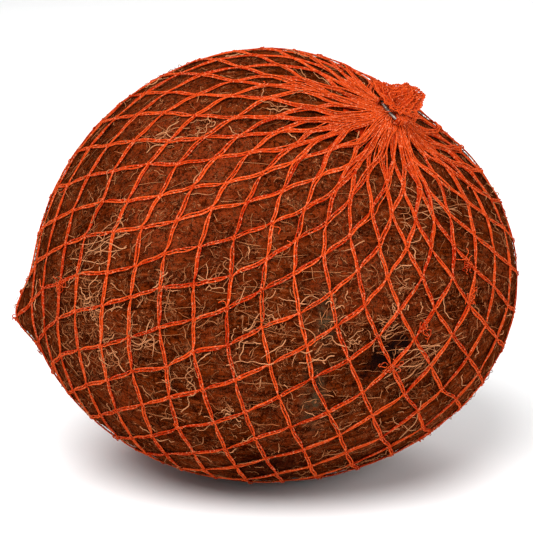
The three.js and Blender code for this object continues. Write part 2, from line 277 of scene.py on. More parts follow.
class ShaderGraph(Graph):
    """A material's node tree, with the nodes that every finish starts from."""

    def __init__(self, name: str) -> None:
        """Makes the material."""
        self.material = bpy.data.materials.new(name)
        self.material.use_nodes = True
        super().__init__(self.material.node_tree)

    def place(self) -> Link:
        """Place on the object, in millimetres from the nut's centre."""
        metres = self.node("ShaderNodeTexCoord", output="Object")
        return metres * (1 / MM) - tuple(NUT_CENTRE)

    def attribute(self, name: str, output: str = "Fac") -> Link:
        """An attribute of the mesh."""
        return self.node("ShaderNodeAttribute", {"attribute_name": name}, output=output)

    def spot(self, place: Link, middle: Triple, radius: float, core: float = 0.25) -> Link:
        """1 in the core of a ball, falling smoothly to 0 at its radius in millimetres."""
        gap = self.node("ShaderNodeVectorMath", {"operation": "DISTANCE"}, {0: place, 1: middle}, "Value")
        return 1 - gap.between(core * radius, radius)

    def bump(self, height: Link, depth: float, under: Link | None = None) -> Link:
        """A normal from a height of 0 to 1, with its depth in millimetres."""
        values = {"Height": height, "Distance": depth * MM, "Strength": 1.0}
        if under is not None:
            values["Normal"] = under
        return self.node("ShaderNodeBump", None, values, "Normal")

    def finish(self, **inputs: Any) -> Material:
        """Adds the Principled shader and the output.

        Args:
            inputs: The shader's sockets, with underscores for spaces.

        Returns:
            The finished material.
        """
        values = {name.replace("_", " "): value for name, value in inputs.items()}
        shader = self.node("ShaderNodeBsdfPrincipled", None, values)
        output = self.tree.nodes.new("ShaderNodeOutputMaterial")
        self.tree.links.new(shader.socket, output.inputs["Surface"])
        return self.material


@dataclass(frozen=True)
class HuskFinish:
    """The nut's coat: brown fibre that runs lengthwise, with pale threads and painted shade in its crevices.

    Places and radii are in millimetres from the nut's centre.
    """

    # The darkest brown is the fibre's own, and is also painted as shade in the crevices and hollows.
    dark_fibre_and_shade: Triple = (0.020, 0.0019, 0.0001)
    # Painted shade: near-black inside the deepest hollows.
    painted_pit_shade: Triple = (0.005, 0.0025, 0.0025)
    brown: Triple = (0.110, 0.0142, 0.0013)
    tan: Triple = (0.270, 0.052, 0.012)
    red: Triple = (0.225, 0.032, 0.008)
    grey_green: Triple = (0.055, 0.040, 0.020)
    thread: Triple = (0.430, 0.140, 0.052)
    relief: float = 0.95
    squiggles: tuple[tuple[float, float, float], ...] = ((2.1, 0.016, 0.0), (1.25, 0.02, 31.0))
    # Painted light: a redder glow over the upper side, where the key lamp falls.
    painted_top_glow: tuple[tuple[Triple, float, float], ...] = (  # middle, radius and strength
        ((-24.0, -33.0, 32.0), 34.0, 0.6),
        ((10.0, -45.0, 28.0), 26.0, 0.25),
    )
    stains: tuple[tuple[Triple, float], ...] = (((1.7, -51.5, 5.0), 7.0), ((-0.8, -48.5, -14.0), 9.0))
    stain_stretch: Triple = (2.2, 1.0, 0.7)
    raggedness: float = 11.0  # how far the edges of the painted shade spots stray
    # Painted shade: near-black in the coat's hollows, and darker under the nut.
    painted_shade_spots: tuple[tuple[Triple, float, float], ...] = (  # middle, radius and strength
        ((14.3, -48.7, -7.0), 5.5, 1.0),
        ((18.3, -47.5, -4.5), 5.0, 1.0),
        ((10.8, -49.3, -9.3), 4.5, 0.9),
        ((22.5, -45.5, -8.5), 7.0, 0.45),
        ((13.0, -48.3, -12.2), 7.0, 0.4),
        ((-21.5, -45.0, 19.0), 9.0, 0.35),
        ((-1.6, -47.0, 17.4), 6.0, 0.4),
        ((-9.0, -37.0, -37.0), 18.0, 0.7),
        ((14.0, -30.0, -40.0), 16.0, 0.7),
    )

    def material(self) -> Material:
        """Builds the material."""
        g = ShaderGraph("husk_finish")
        place = g.place()
        grain = g.attribute("grain", "Vector")
        streaks = g.noise(grain, size=1.9, detail=5.0, rough=0.66, warp=0.7)
        fine = g.noise(grain, size=0.62, detail=3.0, rough=0.65, warp=0.4)
        speckle = g.noise(place, size=0.62, detail=4.0, rough=0.72, warp=0.5)
        patches = g.noise(place, size=17.0, detail=3.0, rough=0.55, warp=0.3)
        worn = g.noise(place, size=6.0, detail=3.0, rough=0.6, warp=0.8)
        bands = g.noise(grain, size=5.5, detail=4.0, rough=0.6, warp=0.5).between(0.35, 0.55)

        colour = (streaks * 0.6 + fine * 0.4).between(0.40, 0.58).blend(self.dark_fibre_and_shade, self.brown)
        colour = ((1 - bands) * 0.45).blend(colour, self.dark_fibre_and_shade)
        colour = (speckle.between(0.50, 0.68) * worn.between(0.35, 0.65) * 0.6).blend(colour, self.tan)
        colour = (fine.between(0.56, 0.68) * 0.5).blend(colour, self.tan)
        # Random reddish patches of the coat, with the painted glow of the lit upper side added.
        reddish = patches.between(0.47, 0.62) * 0.4 + self._spots(g, place, self.painted_top_glow, "ADD")
        reddish = reddish.maths("MINIMUM", 0.85)
        colour = (reddish * speckle.between(0.35, 0.6)).blend(colour, self.red)
        for middle, radius in self.stains:
            colour = (self._stain(g, place, middle, radius) * 0.8).blend(colour, self.grey_green)
        # Painted shade: the crevices between the fibres are darkened.
        shaded_crevices = 1 - g.noise(place, size=1.5, detail=4.0, rough=0.7, warp=1.1).between(0.36, 0.47)
        colour = (shaded_crevices * 0.8).blend(colour, self.dark_fibre_and_shade)
        squiggles = self._squiggles(g, place)
        colour = (squiggles * (0.3 + 0.5 * worn.between(0.4, 0.6))).blend(colour, self.thread)
        strayed = (g.noise(place, size=2.4, detail=4.0, rough=0.65) - 0.5) * self.raggedness
        # Painted shade, blended to the darkest brown and then to near-black in the hollows.
        shade = self._spots(g, place + strayed, self.painted_shade_spots, "MAXIMUM")
        colour = (shade * 0.9).blend(colour, self.dark_fibre_and_shade)
        colour = (shade.between(0.5, 1.0) * 0.85).blend(colour, self.painted_pit_shade)

        height = streaks * 0.45 + fine * 0.3 + speckle * 0.4 + squiggles * 0.5 - shaded_crevices * 0.35
        return g.finish(
            Base_Color=colour,
            Roughness=0.75 + 0.2 * speckle,
            Normal=g.bump(height, self.relief),
            Specular_IOR_Level=0.0,
        )

    def _squiggles(self, g: ShaderGraph, place: Link) -> Link:
        """Short curled threads that lie flat in the coat, at two sizes."""
        found = []
        for size, width, seed in self.squiggles:
            swirl = g.noise(place + (seed, seed, 0.0), size=size, detail=1.0, rough=0.5, warp=1.6)
            line = 1 - (swirl - 0.5).maths("ABSOLUTE").between(width * 0.5, width * 1.7)
            broken = g.noise(place + (0.0, seed, 9.0), size=size * 1.3, detail=2.0, rough=0.6)
            found.append(line * broken.between(0.46, 0.56))
        return found[0].maths("MAXIMUM", found[1])

    def _stain(self, g: ShaderGraph, place: Link, middle: Triple, radius: float) -> Link:
        """A narrow ragged stain that runs down the nut."""
        centre = tuple(m * stretch for m, stretch in zip(middle, self.stain_stretch))
        ragged = g.noise(place, size=3.0, detail=3.0, rough=0.6).between(0.35, 0.6)
        return g.spot(place * self.stain_stretch, centre, radius) * ragged

    @staticmethod
    def _spots(g: ShaderGraph, place: Link, spots: Sequence, operation: str) -> Link:
        """Spots with a middle, a radius and a strength, joined by a Math operation."""
        found = [g.spot(place, middle, radius) * strength for middle, radius, strength in spots]
        total = found[0]
        for more in found[1:]:
            total = total.maths(operation, more)
        return total


@dataclass(frozen=True)
class FibreFinish:
    """Loose hairs of the coat, from pale straw to brown."""

    name: str
    pale: Triple = (0.54, 0.225, 0.10)
    brown: Triple = (0.24, 0.068, 0.020)

    def material(self) -> Material:
        """Builds the material."""
        g = ShaderGraph(self.name)
        place = g.place()
        mottle = g.noise(place, size=1.6, detail=3.0)
        share = (g.attribute("tint") * 0.8 + mottle * 0.5 - 0.15).between(0.0, 1.0)
        return g.finish(
            Base_Color=share.blend(self.brown, self.pale),
            Roughness=0.62,
            Normal=g.bump(g.noise(place, size=0.3, detail=2.0), 0.08),
            Specular_IOR_Level=0.0,
        )


@dataclass(frozen=True)
class ThreadFinish:
    """Orange-red plastic thread, with pale flecks painted on as highlights."""

    name: str
    deep: Triple = (0.31, 0.010, 0.001)
    orange: Triple = (0.56, 0.060, 0.009)
    pale: Triple = (0.85, 0.27, 0.125)
    painted_highlights: float = 0.6  # how much the pale painted highlights show

    def material(self) -> Material:
        """Builds the material."""
        g = ShaderGraph(self.name)
        place = g.place()
        mottle = g.noise(place, size=0.9, detail=3.0, rough=0.65)
        share = (g.attribute("tint") * 0.6 + mottle * 0.9 - 0.25).between(0.05, 0.8)
        colour = share.blend(self.deep, self.orange)
        # Painted highlights: pale flecks over the thread's colour.
        drawn = g.noise(place, size=0.5, detail=2.0, rough=0.6).between(0.52, 0.70)
        colour = (drawn * self.painted_highlights).blend(colour, self.pale)
        return g.finish(
            Base_Color=colour,
            Roughness=0.34 + 0.2 * mottle,
            Normal=g.bump(g.noise(place, size=0.35, detail=2.0), 0.14),
            Specular_IOR_Level=0.0,
        )


@dataclass(frozen=True)
class CrushedNetFinish:
    """Net crushed into a solid sheet, with threads that run outwards from the clip, darker than the loose
    threads as painted shade between the strands.
    """

    name: str = "crushed_net_finish"
    # Darker than the thread finish: painted shade in the gaps between the strands.
    deep: Triple = (0.17, 0.005, 0.0007)
    orange: Triple = (0.44, 0.027, 0.004)

    def material(self) -> Material:
        """Builds the material."""
        g = ShaderGraph(self.name)
        lay = g.attribute("lay", "Vector")
        threads = g.noise(lay, size=0.28, detail=2.0, rough=0.6, warp=0.2)
        folds = g.noise(lay * (0.3, 0.3, 0.3), size=0.28, detail=3.0)
        share = (threads * 0.7 + folds * 0.5 - 0.1).between(0.2, 0.8)
        return g.finish(
            Base_Color=share.blend(self.deep, self.orange),
            Roughness=0.4 + 0.2 * threads,
            Normal=g.bump(threads, 0.35),
            Specular_IOR_Level=0.0,
        )


@dataclass(frozen=True)
class WireFinish:
    """Dull galvanised wire, with brown patches painted on as reflections of the nut."""

    zinc: Triple = (0.30, 0.255, 0.225)
    painted_brown_reflection: Triple = (0.075, 0.036, 0.022)

    def material(self) -> Material:
        """Builds the material."""
        g = ShaderGraph("wire_finish")
        place = g.place()
        # Painted reflection: brown patches that stand in for the nut's brown seen in the wire.
        reflection_patches = g.noise(place, size=0.9, detail=4.0, rough=0.65, warp=0.5).between(0.42, 0.68)
        return g.finish(
            Base_Color=reflection_patches.blend(self.zinc, self.painted_brown_reflection),
            Metallic=0.85 - 0.6 * reflection_patches,
            Roughness=0.42 + 0.35 * reflection_patches,
            Normal=g.bump(g.noise(place, size=0.25, detail=3.0), 0.05),
        )


@dataclass(frozen=True)
class TableFinish:
    """The plain pale floor."""

    white: Triple = (0.93, 0.93, 0.93)
    worn: Triple = (0.9, 0.9, 0.9)

    def material(self) -> Material:
        """Builds the material."""
        g = ShaderGraph("table_finish")
        faint = g.noise(g.place(), size=90.0, detail=2.0) * 0.1
        return g.finish(Base_Color=faint.blend(self.white, self.worn), Roughness=0.8)


# ---- Meshes and Geometry Nodes ----


@dataclass
class Thread:
    """A run of points that a thread follows, with its radius and tint."""

    points: Array
    radius: float | Array
    tint: float
    closed: bool = False


def in_scene(name: str, data: bpy.types.ID) -> Piece:
    """A new object for a mesh, a lamp or a camera, linked to the scene."""
    made = bpy.data.objects.new(name, data)
    bpy.context.scene.collection.objects.link(made)
    return made


def mesh_object(name: str, points: Array, faces: Sequence = (), edges: Sequence = ()) -> Piece:
    """A mesh object from points in millimetres round the nut's centre.

    Args:
        name: The object's name.
        points: The points.
        faces: Point numbers of each face.
        edges: Point numbers of each loose edge.

    Returns:
        The object, in the scene.
    """
    mesh = bpy.data.meshes.new(name)
    mesh.from_pydata(in_frame(points).tolist(), list(edges), list(faces))
    mesh.update()
    return in_scene(name, mesh)


def declare(pieces: Sequence[Piece], node: str | None = None) -> None:
    """Says what the finished pieces belong to.

    Args:
        pieces: The pieces, which all ride on the one body.
        node: The CAD node that they stand for, if any.
    """
    for piece in pieces:
        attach(piece, "root")
        if node is not None:
            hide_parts(node)


def set_attribute(mesh: bpy.types.Mesh, name: str, values: Array) -> None:
    """Stores a number or a vector on every point of a mesh."""
    values = np.asarray(values, float)
    kind, key = ("FLOAT_VECTOR", "vector") if values.ndim == 2 else ("FLOAT", "value")
    layer = mesh.attributes.new(name, kind, "POINT")
    layer.data.foreach_set(key, values.ravel().astype(np.float32))


class GeometryTree(Graph):
    """A Geometry Nodes group with named inputs."""

    def __init__(self, name: str, sizes: dict[str, float | int]) -> None:
        """Makes the group.

        Args:
            name: The group's name.
            sizes: Its numbers, by input name.
        """
        super().__init__(bpy.data.node_groups.new(name, "GeometryNodeTree"))
        self.sizes = sizes
        interface = self.tree.interface
        interface.new_socket("Geometry", in_out="INPUT", socket_type="NodeSocketGeometry")
        self.keys: dict[str, str] = {}
        kinds = {key: "Int" if isinstance(value, int) else "Float" for key, value in sizes.items()}
        for key, kind in {**kinds, "Material": "Material"}.items():
            socket = interface.new_socket(key, in_out="INPUT", socket_type=f"NodeSocket{kind}")
            self.keys[key] = socket.identifier
        interface.new_socket("Geometry", in_out="OUTPUT", socket_type="NodeSocketGeometry")
        self.entry = self.tree.nodes.new("NodeGroupInput")

    def given(self, name: str) -> Link:
        """One of the group's inputs."""
        return Link(self, self.entry.outputs[name])

    def stored(self, name: str, kind: str = "FLOAT") -> Link:
        """A named attribute of the geometry."""
        return self.node("GeometryNodeInputNamedAttribute", {"data_type": kind}, {"Name": name}, "Attribute")

    def store(self, geometry: Link, name: str, value: Any, kind: str = "FLOAT") -> Link:
        """Writes a named attribute on the geometry's points."""
        values = {"Geometry": geometry, "Name": name, "Value": value}
        return self.node("GeometryNodeStoreNamedAttribute", {"data_type": kind, "domain": "POINT"}, values)

    def moved(self, geometry: Link, **where: Link) -> Link:
        """The geometry with its points moved, to a Position or by an Offset."""
        return self.node("GeometryNodeSetPosition", None, {"Geometry": geometry, **where})

    def tubes(self, curves: Link, radius: Link, sides: Link | int) -> Link:
        """Round tubes along curves, with closed ends."""
        ring = self.node("GeometryNodeCurvePrimitiveCircle", None, {"Resolution": sides, "Radius": 1.0})
        values = {"Curve": curves, "Profile Curve": ring, "Scale": radius, "Fill Caps": True}
        return self.node("GeometryNodeCurveToMesh", None, values)

    def close(self, geometry: Link) -> None:
        """Adds the last nodes."""
        real = self.node("GeometryNodeRealizeInstances", None, {"Geometry": geometry})
        smooth = self.node("GeometryNodeSetShadeSmooth", None, {"Geometry": real})
        dressed = self.node(
            "GeometryNodeSetMaterial", None, {"Geometry": smooth, "Material": self.given("Material")}
        )
        output = self.tree.nodes.new("NodeGroupOutput")
        self.tree.links.new(dressed.socket, output.inputs["Geometry"])

    def run(self, source: Piece, material: Material, keep: Sequence[str]) -> Piece:
        """Applies the group to an object.

        Args:
            source: The object, which becomes the plain mesh of the result.
            material: The finish of the result.
            keep: Names of the attributes that the finish reads.

        Returns:
            The same object, without the modifier.
        """
        modifier = source.modifiers.new(self.tree.name, "NODES")
        modifier.node_group = self.tree
        for key, value in {**self.sizes, "Material": material}.items():
            modifier[self.keys[key]] = value
        depsgraph = bpy.context.evaluated_depsgraph_get()
        result = bpy.data.meshes.new_from_object(source.evaluated_get(depsgraph), depsgraph=depsgraph)
        source.modifiers.remove(modifier)
        source.data = result
        result.name = source.name
        spare = [a.name for a in result.attributes if not a.is_required and not a.is_internal]
        for name in set(spare) - {*keep, "sharp_face", "material_index"}:
            result.attributes.remove(result.attributes[name])
        return source


class ThreadTree(GeometryTree):
    """Lays a round thread along every run of edges, with a slight waver."""

    def __init__(self, sides: int, waver: float, pitch: float, seed: int) -> None:
        """Makes the group.

        Args:
            sides: How many sides a thread has.
            waver: How far it strays from its points, in millimetres.
            pitch: How far apart its bends are, in millimetres.
            seed: Sets the noise that bends it.
        """
        sizes = {"Sides": sides, "Waver": waver * MM, "Pitch": pitch * MM, "Seed": seed}
        super().__init__("threads", sizes)
        self.waver = waver
        curve = self.node("GeometryNodeMeshToCurve", None, {"Mesh": self.given("Geometry")})
        place = self.node("GeometryNodeInputPosition")
        seed = self.given("Seed") * 7.3
        noise = self.noise(place, self.given("Pitch"), detail=1.0, rough=0.5, seed=seed, output="Color")
        wavy = self.moved(curve, Offset=(noise - (0.5, 0.5, 0.5)) * (self.given("Waver") * 2.0))
        self.close(self.tubes(wavy, self.stored("thickness"), self.given("Sides")))

    def lay(self, name: str, threads: Sequence[Thread], material: Material) -> Piece:
        """Makes one piece of a list of threads."""
        points, edges, thickness, tint = [], [], [], []
        start = 0
        for thread in threads:
            count = len(thread.points)
            least = FLOOR_Z + thread.radius + self.waver
            points.append(np.column_stack([thread.points[:, :2], np.maximum(thread.points[:, 2], least)]))
            edges += [(start + i, start + i + 1) for i in range(count - 1)]
            if thread.closed:
                edges.append((start + count - 1, start))
            thickness.append(np.broadcast_to(thread.radius, count) * MM)
            tint.append(np.full(count, thread.tint))
            start += count
        source = mesh_object(name, np.concatenate(points), edges=edges)
        set_attribute(source.data, "thickness", np.concatenate(thickness))
        set_attribute(source.data, "tint", np.concatenate(tint))
        return self.run(source, material, ["tint"])


class HairTree(GeometryTree):
    """Grows hairs: lines whose heading is summed up from noise, laid on a surface."""

    def __init__(self, name: str, sizes: dict[str, float | int]) -> None:
        """Makes the group for hairs of the given sizes, in metres and radians."""
        super().__init__(name, sizes)
        surface = self.given("Geometry")
        scattered = self._scatter(surface)
        line = self.node("GeometryNodeCurvePrimitiveLine", None, {"End": (1.0, 0.0, 0.0)})
        line = self.node("GeometryNodeResampleCurve", None, {"Curve": line, "Count": self.given("Joints")})
        hairs = self.node("GeometryNodeInstanceOnPoints", None, {"Points": scattered, "Instance": line})
        hairs = self.node("GeometryNodeRealizeInstances", None, {"Geometry": hairs})
        hairs = self._drape(self.moved(hairs, Position=self._flat_place()), surface)
        self.close(self._tapered(hairs))

    def _random(self, low: Any, high: Any, offset: int) -> Link:
        """A random number for each point."""
        values = {"Min": low, "Max": high, "Seed": self.given("Seed") + offset}
        return self.node("FunctionNodeRandomValue", {"data_type": "FLOAT"}, values, "Value")

    def _scatter(self, surface: Link) -> Link:
        """Roots of the hairs, each with its own length, heading and tint."""
        density = self.given("Density") * self.stored("hairiness")
        values = {"Mesh": surface, "Density": density, "Seed": self.given("Seed")}
        settings = {"distribute_method": "RANDOM"}
        points = self.node("GeometryNodeDistributePointsOnFaces", settings, values, "Points")
        outwards = Link(self, points.socket.node.outputs["Normal"])
        turn = self.given("Spread")
        flipped = self._random(0.0, 1.0, 5).maths("GREATER_THAN", 0.5)
        for name, value, kind in (
            ("root", self.node("GeometryNodeInputPosition"), "FLOAT_VECTOR"),
            ("facing", self._facing(outwards), "QUATERNION"),
            ("reach", self._random(self.given("Shortest"), self.given("Longest"), 1), "FLOAT"),
            ("heading", self._random(turn * -1.0, turn, 2), "FLOAT"),
            ("own", self._random(0.0, 900.0, 3), "FLOAT"),
            ("flip", flipped * math.pi, "FLOAT"),
            ("tint", self._random(0.0, 1.0, 4), "FLOAT"),
        ):
            points = self.store(points, name, value, kind)
        return points

    def _facing(self, outwards: Link) -> Link:
        """Turns a hair's X axis along the nut's fibres and its Z axis outwards."""
        kind = "FunctionNodeAlignRotationToVector"
        upright = self.node(kind, {"axis": "Z"}, {"Vector": outwards}, "Rotation")
        values = {"Rotation": upright, "Vector": (1.0, 0.0, 0.0)}
        return self.node(kind, {"axis": "X", "pivot_axis": "Z"}, values, "Rotation")

    def _flat_place(self) -> Link:
        """Where a joint of a hair lies, if the surface were flat round its root."""
        step = self.node("GeometryNodeSplineParameter", output="Factor")
        along = self.node("ShaderNodeCombineXYZ", None, {"X": step * self.given("Waves")})
        bend = self.noise(along, size=1.0, detail=1.5, rough=0.5, seed=self.stored("own")) - 0.5
        joints = self.given("Joints")
        summed = self._summed(bend * self.given("Curl") / joints, "FLOAT")
        heading = summed + self.stored("heading") + self.stored("flip")
        values = {"X": heading.maths("COSINE"), "Y": heading.maths("SINE")}
        stride = self.node("ShaderNodeCombineXYZ", None, values) * (self.stored("reach") / joints)
        walked = self._summed(stride, "FLOAT_VECTOR")
        values = {"Vector": walked, "Rotation": self.stored("facing", "QUATERNION")}
        turned = self.node("FunctionNodeRotateVector", None, values, "Vector")
        return turned + self.stored("root", "FLOAT_VECTOR")

    def _summed(self, value: Link, kind: str) -> Link:
        """A value summed up along each hair, from its root to the joint before."""
        curve = self.node("GeometryNodeCurveOfPoint", None, None, "Curve Index")
        values = {"Value": value, "Group ID": curve}
        return self.node("GeometryNodeAccumulateField", {"data_type": kind}, values, "Trailing")

    def _drape(self, hairs: Link, surface: Link) -> Link:
        """Sets the hairs down on the surface, and lifts them here and there."""
        nearest = self.node("GeometryNodeProximity", {"target_element": "FACES"}, {0: surface}, "Position")
        values = {"Mesh": surface, "Value": self.node("GeometryNodeInputNormal")}
        settings = {"data_type": "FLOAT_VECTOR"}
        outwards = self.node("GeometryNodeSampleNearestSurface", settings, values, "Value")
        step = self.node("GeometryNodeSplineParameter", output="Factor")
        along = self.node("ShaderNodeCombineXYZ", None, {"X": step * 2.6})
        swell = self.noise(along, size=1.0, detail=1.0, rough=0.5, seed=self.stored("own") + 40.0)
        height = self.given("Lift") * swell.between(0.35, 0.75) + self.given("Thickness") * 0.6
        return self.moved(self.moved(hairs, Position=nearest), Offset=outwards * height)

    def _tapered(self, hairs: Link) -> Link:
        """Gives the hairs their thickness, tapering to the tip."""
        step = self.node("GeometryNodeSplineParameter", output="Factor")
        radius = self.given("Thickness") * (1.0 - 0.6 * step * step) * (0.7 + 0.5 * self.stored("tint"))
        return self.tubes(hairs, radius, 3)


# ---- The nut's form ----


@dataclass(frozen=True)
class Spot:
    """A place on the nut that is raised or sunk, fading out over its spread in radians."""

    towards: Triple
    amount: float
    spread: float

    def at(self, directions: Array) -> Array:
        """The spot's share of the radius in each direction."""
        cosine = np.clip(directions @ unit(self.towards), -1, 1)
        return self.amount * np.exp(-((np.arccos(cosine) / self.spread) ** 2))


@dataclass(frozen=True)
class HuskForm:
    """The nut's outside, as one radius for each direction from its centre."""

    half_length: float = 57.26
    half_width: float = 51.22
    half_height_top: float = 53.3
    half_height_bottom: float = 47.34
    lobe: float = 0.026  # how far the three lobes stand out, as a share
    taper: float = -0.06
    end_swell: float = 0.029
    flat_z: float = -45.4  # the small flat that the nut rests on
    shaping: tuple[Spot, ...] = (
        Spot((-0.987, 0.105, -0.123), 5.14, 0.13),  # the nub at the stalk
        Spot((-0.991, 0.134, -0.019), -1.06, 0.09),  # the dips above and below its tip
        Spot((-0.974, 0.079, -0.214), -0.93, 0.068),
        Spot((-0.957, 0.058, -0.283), 1.19, 0.35),  # its broad foot
        Spot((0.588, -0.128, 0.799), -3.3, 0.42),  # the flatter shoulder
    )
    ridges: int = 15  # that run lengthwise
    ridge_depth: float = 0.3
    waves: int = 4
    wave_depth: float = 0.15
    hollows: tuple[Spot, ...] = (
        Spot((0.245, -0.964, -0.104), 2.2, 0.1), Spot((0.154, -0.975, -0.163), 1.6, 0.09),
        Spot((0.465, -0.865, -0.24), 1.2, 0.08), Spot((-0.398, -0.836, 0.36), 1.0, 0.11),
        Spot((-0.35, 0.84, 0.3), 1.5, 0.12), Spot((0.55, 0.75, -0.2), 1.2, 0.1),
    )

    def radius(self, directions: Array) -> Array:
        """The smooth outer radius, which the net is drawn over."""
        x, y, z = directions[..., 0], directions[..., 1], directions[..., 2]
        rise = 0.5 + 0.5 * z
        half_height = self.half_height_bottom * (1 - rise) + self.half_height_top * rise
        scaled = (x / self.half_length) ** 2 + (y / self.half_width) ** 2 + (z / half_height) ** 2
        lobes = 1 + self.lobe * (y * y + z * z) * np.cos(3 * np.arctan2(y, z))
        ends = 1 + self.taper * x + self.end_swell * x**3
        return lobes * ends / np.sqrt(scaled) + sum(spot.at(directions) for spot in self.shaping)

    def relief(self, directions: Array) -> Array:
        """How deep the coat's ridges, waves and hollows are cut inwards."""
        x, y, z = directions[..., 0], directions[..., 1], directions[..., 2]
        turn = np.arctan2(y, z)
        away = np.sqrt(y * y + z * z)
        ridge = 0.5 - 0.5 * np.cos(self.ridges * turn + 1.6 * np.sin(2.3 * x + turn))
        wave = 0.5 - 0.5 * np.cos(self.waves * turn + 5 * x)
        hollows = sum(hollow.at(directions) for hollow in self.hollows)
        return away * (self.ridge_depth * ridge + self.wave_depth * wave) + hollows

    def laid(self, points: Array, gap: float | Array) -> Array:
        """Points moved in or out to lie at a gap over the smooth nut."""
        directions = unit(points)
        return directions * (self.radius(directions) + gap)[..., None]

    def held(self, points: Array, least: float, most: float | Array = np.inf) -> Array:
        """Points moved in or out to stand between two gaps off the smooth nut."""
        length = np.linalg.norm(points, axis=-1)
        directions = unit(points)
        radius = self.radius(directions)
        return directions * np.clip(length, radius + least, radius + most)[..., None]


class CoatRelief(GeometryTree):
    """Sinks the coat's surface along noise that follows the fibres."""

    def __init__(self, depth: float = 0.6, seed: int = 5) -> None:
        """Makes the group; depth is in millimetres."""
        super().__init__("coat_relief", {"Depth": depth * MM, "Seed": seed})
        grain = self.stored("grain", "FLOAT_VECTOR")
        shift = self.given("Seed") * 11.0
        coarse = self.noise(grain, size=1 / 0.42, detail=4.0, rough=0.6, seed=shift)
        place = self.node("GeometryNodeInputPosition") * (1 / MM)
        lumps = self.noise(place, size=2.0, detail=3.0, rough=0.6, seed=shift)
        sunk = coarse.between(0.3, 0.7) * 0.65 + lumps.between(0.35, 0.7) * 0.35
        offset = self.node("GeometryNodeInputNormal") * (self.given("Depth") * (sunk - 0.75))
        self.close(self.moved(self.given("Geometry"), Offset=offset))


@dataclass
class Coconut:
    """The nut with its fibrous coat."""

    form: HuskForm = field(default_factory=HuskForm)
    cells: int = 118  # along each edge of the cube that becomes the ball
    fluff: float = 0.5  # how far the coat's fibres stand above the solid nut
    grain_stretch: float = 0.15
    grain_width: float = 46.0
    grain_end: float = 9.0  # from the long axis, where the fibres stop running together
    bare: float = 0.22  # how hairy the coat is between its tufts
    tufts: tuple[Spot, ...] = (
        Spot((-0.846, -0.532, 0.025), 1.0, 0.2), Spot((-0.72, -0.62, -0.1), 0.7, 0.2),
        Spot((-0.45, -0.85, 0.1), 0.45, 0.3), Spot((-0.15, -0.95, 0.2), 0.3, 0.3),
        Spot((0.35, -0.9, 0.1), 0.35, 0.3), Spot((0.464, -0.868, -0.176), 0.7, 0.14),
        Spot((0.1, -0.97, 0.0), 0.35, 0.25), Spot((-0.2, 0.9, 0.2), 0.7, 0.4),
        Spot((0.6, 0.7, 0.1), 0.6, 0.35), Spot((-0.8, 0.5, -0.2), 0.7, 0.3),
    )
    finish: HuskFinish = field(default_factory=HuskFinish)

    def build(self) -> Piece:
        """Makes the nut's body, which stands for the CAD node."""
        directions, faces = self._ball()
        reach = self.form.radius(directions) - self.form.relief(directions) + self.fluff
        points = directions * reach[:, None]
        points[:, 2] = np.maximum(points[:, 2], self.form.flat_z)
        body = mesh_object("coconut_body", points, faces)
        set_attribute(body.data, "grain", self._grain(points))
        set_attribute(body.data, "hairiness", self._hairiness(directions))
        CoatRelief().run(body, self.finish.material(), ["grain", "hairiness"])
        declare([body], "coconut")
        return body

    def _ball(self) -> tuple[Array, list]:
        """Even directions all round, as a cube's faces blown up into a ball."""
        side = np.tan(np.linspace(-1, 1, self.cells + 1) * math.pi / 4)
        u, v = np.meshgrid(side, side, indexing="ij")
        one = np.ones_like(u)
        sheets = [np.stack(p, -1) for p in ((one, u, v), (v, one, u), (u, v, one))]
        sheets += [np.stack(p, -1) for p in ((-one, v, u), (u, -one, v), (v, u, -one))]
        stacked = unit(np.concatenate([s.reshape(-1, 3) for s in sheets]))
        points, number = np.unique(np.round(stacked, 6), axis=0, return_inverse=True)
        number = number.reshape(6, self.cells + 1, self.cells + 1)
        corners = [number[:, :-1, :-1], number[:, 1:, :-1], number[:, 1:, 1:], number[:, :-1, 1:]]
        return unit(points), np.stack(corners, -1).reshape(-1, 4).tolist()

    def _grain(self, points: Array) -> Array:
        """Coordinates that are long along the fibres, which run together at both ends."""
        across = np.hypot(points[:, 1], points[:, 2])
        spread = self.grain_width / np.sqrt(across**2 + self.grain_end**2)
        along = np.full(len(points), self.grain_stretch)
        return points * np.stack([along, spread, spread], -1)

    def _hairiness(self, directions: Array) -> Array:
        """How thickly the loose hairs grow, from 0 to 1."""
        return np.clip(self.bare + sum(tuft.at(directions) for tuft in self.tufts), 0, 1)


@dataclass
class Hairs:
    """One kind of loose hair. Lengths are in millimetres and turns in radians."""

    name: str
    finish: FibreFinish
    seed: int
    joints: int
    count_per_cm2: float
    shortest: float
    longest: float
    thickness: float
    lift: float  # furthest off the coat
    curl: float  # how much a hair may turn along its way
    waves: float  # how many bends it has
    spread: float  # how far its root may turn from the way of the fibres

    def grow(self, body: Piece) -> Piece:
        """Grows the hairs out of the nut's body.

        Args:
            body: The nut's finished body.

        Returns:
            The piece.
        """
        sizes: dict[str, float | int] = {"Density": self.count_per_cm2 * CM2_PER_M2}
        for size in ("shortest", "longest", "thickness", "lift"):
            sizes[size.capitalize()] = getattr(self, size) * MM
        for number in ("curl", "waves", "spread", "joints", "seed"):
            sizes[number.capitalize()] = getattr(self, number)
        source = in_scene(self.name, body.data.copy())
        hairs = HairTree(self.name, sizes).run(source, self.finish.material(), ["tint"])
        declare([hairs])
        return hairs


@dataclass(frozen=True)
class Wisp:
    """A bunch of long hairs, with its middle and heading as directions."""

    middle: Triple
    heading: Triple
    length: float
    count: int
    width: float
    curl: float  # how much a hair may turn along its way, in radians
    lift: float = 0.8


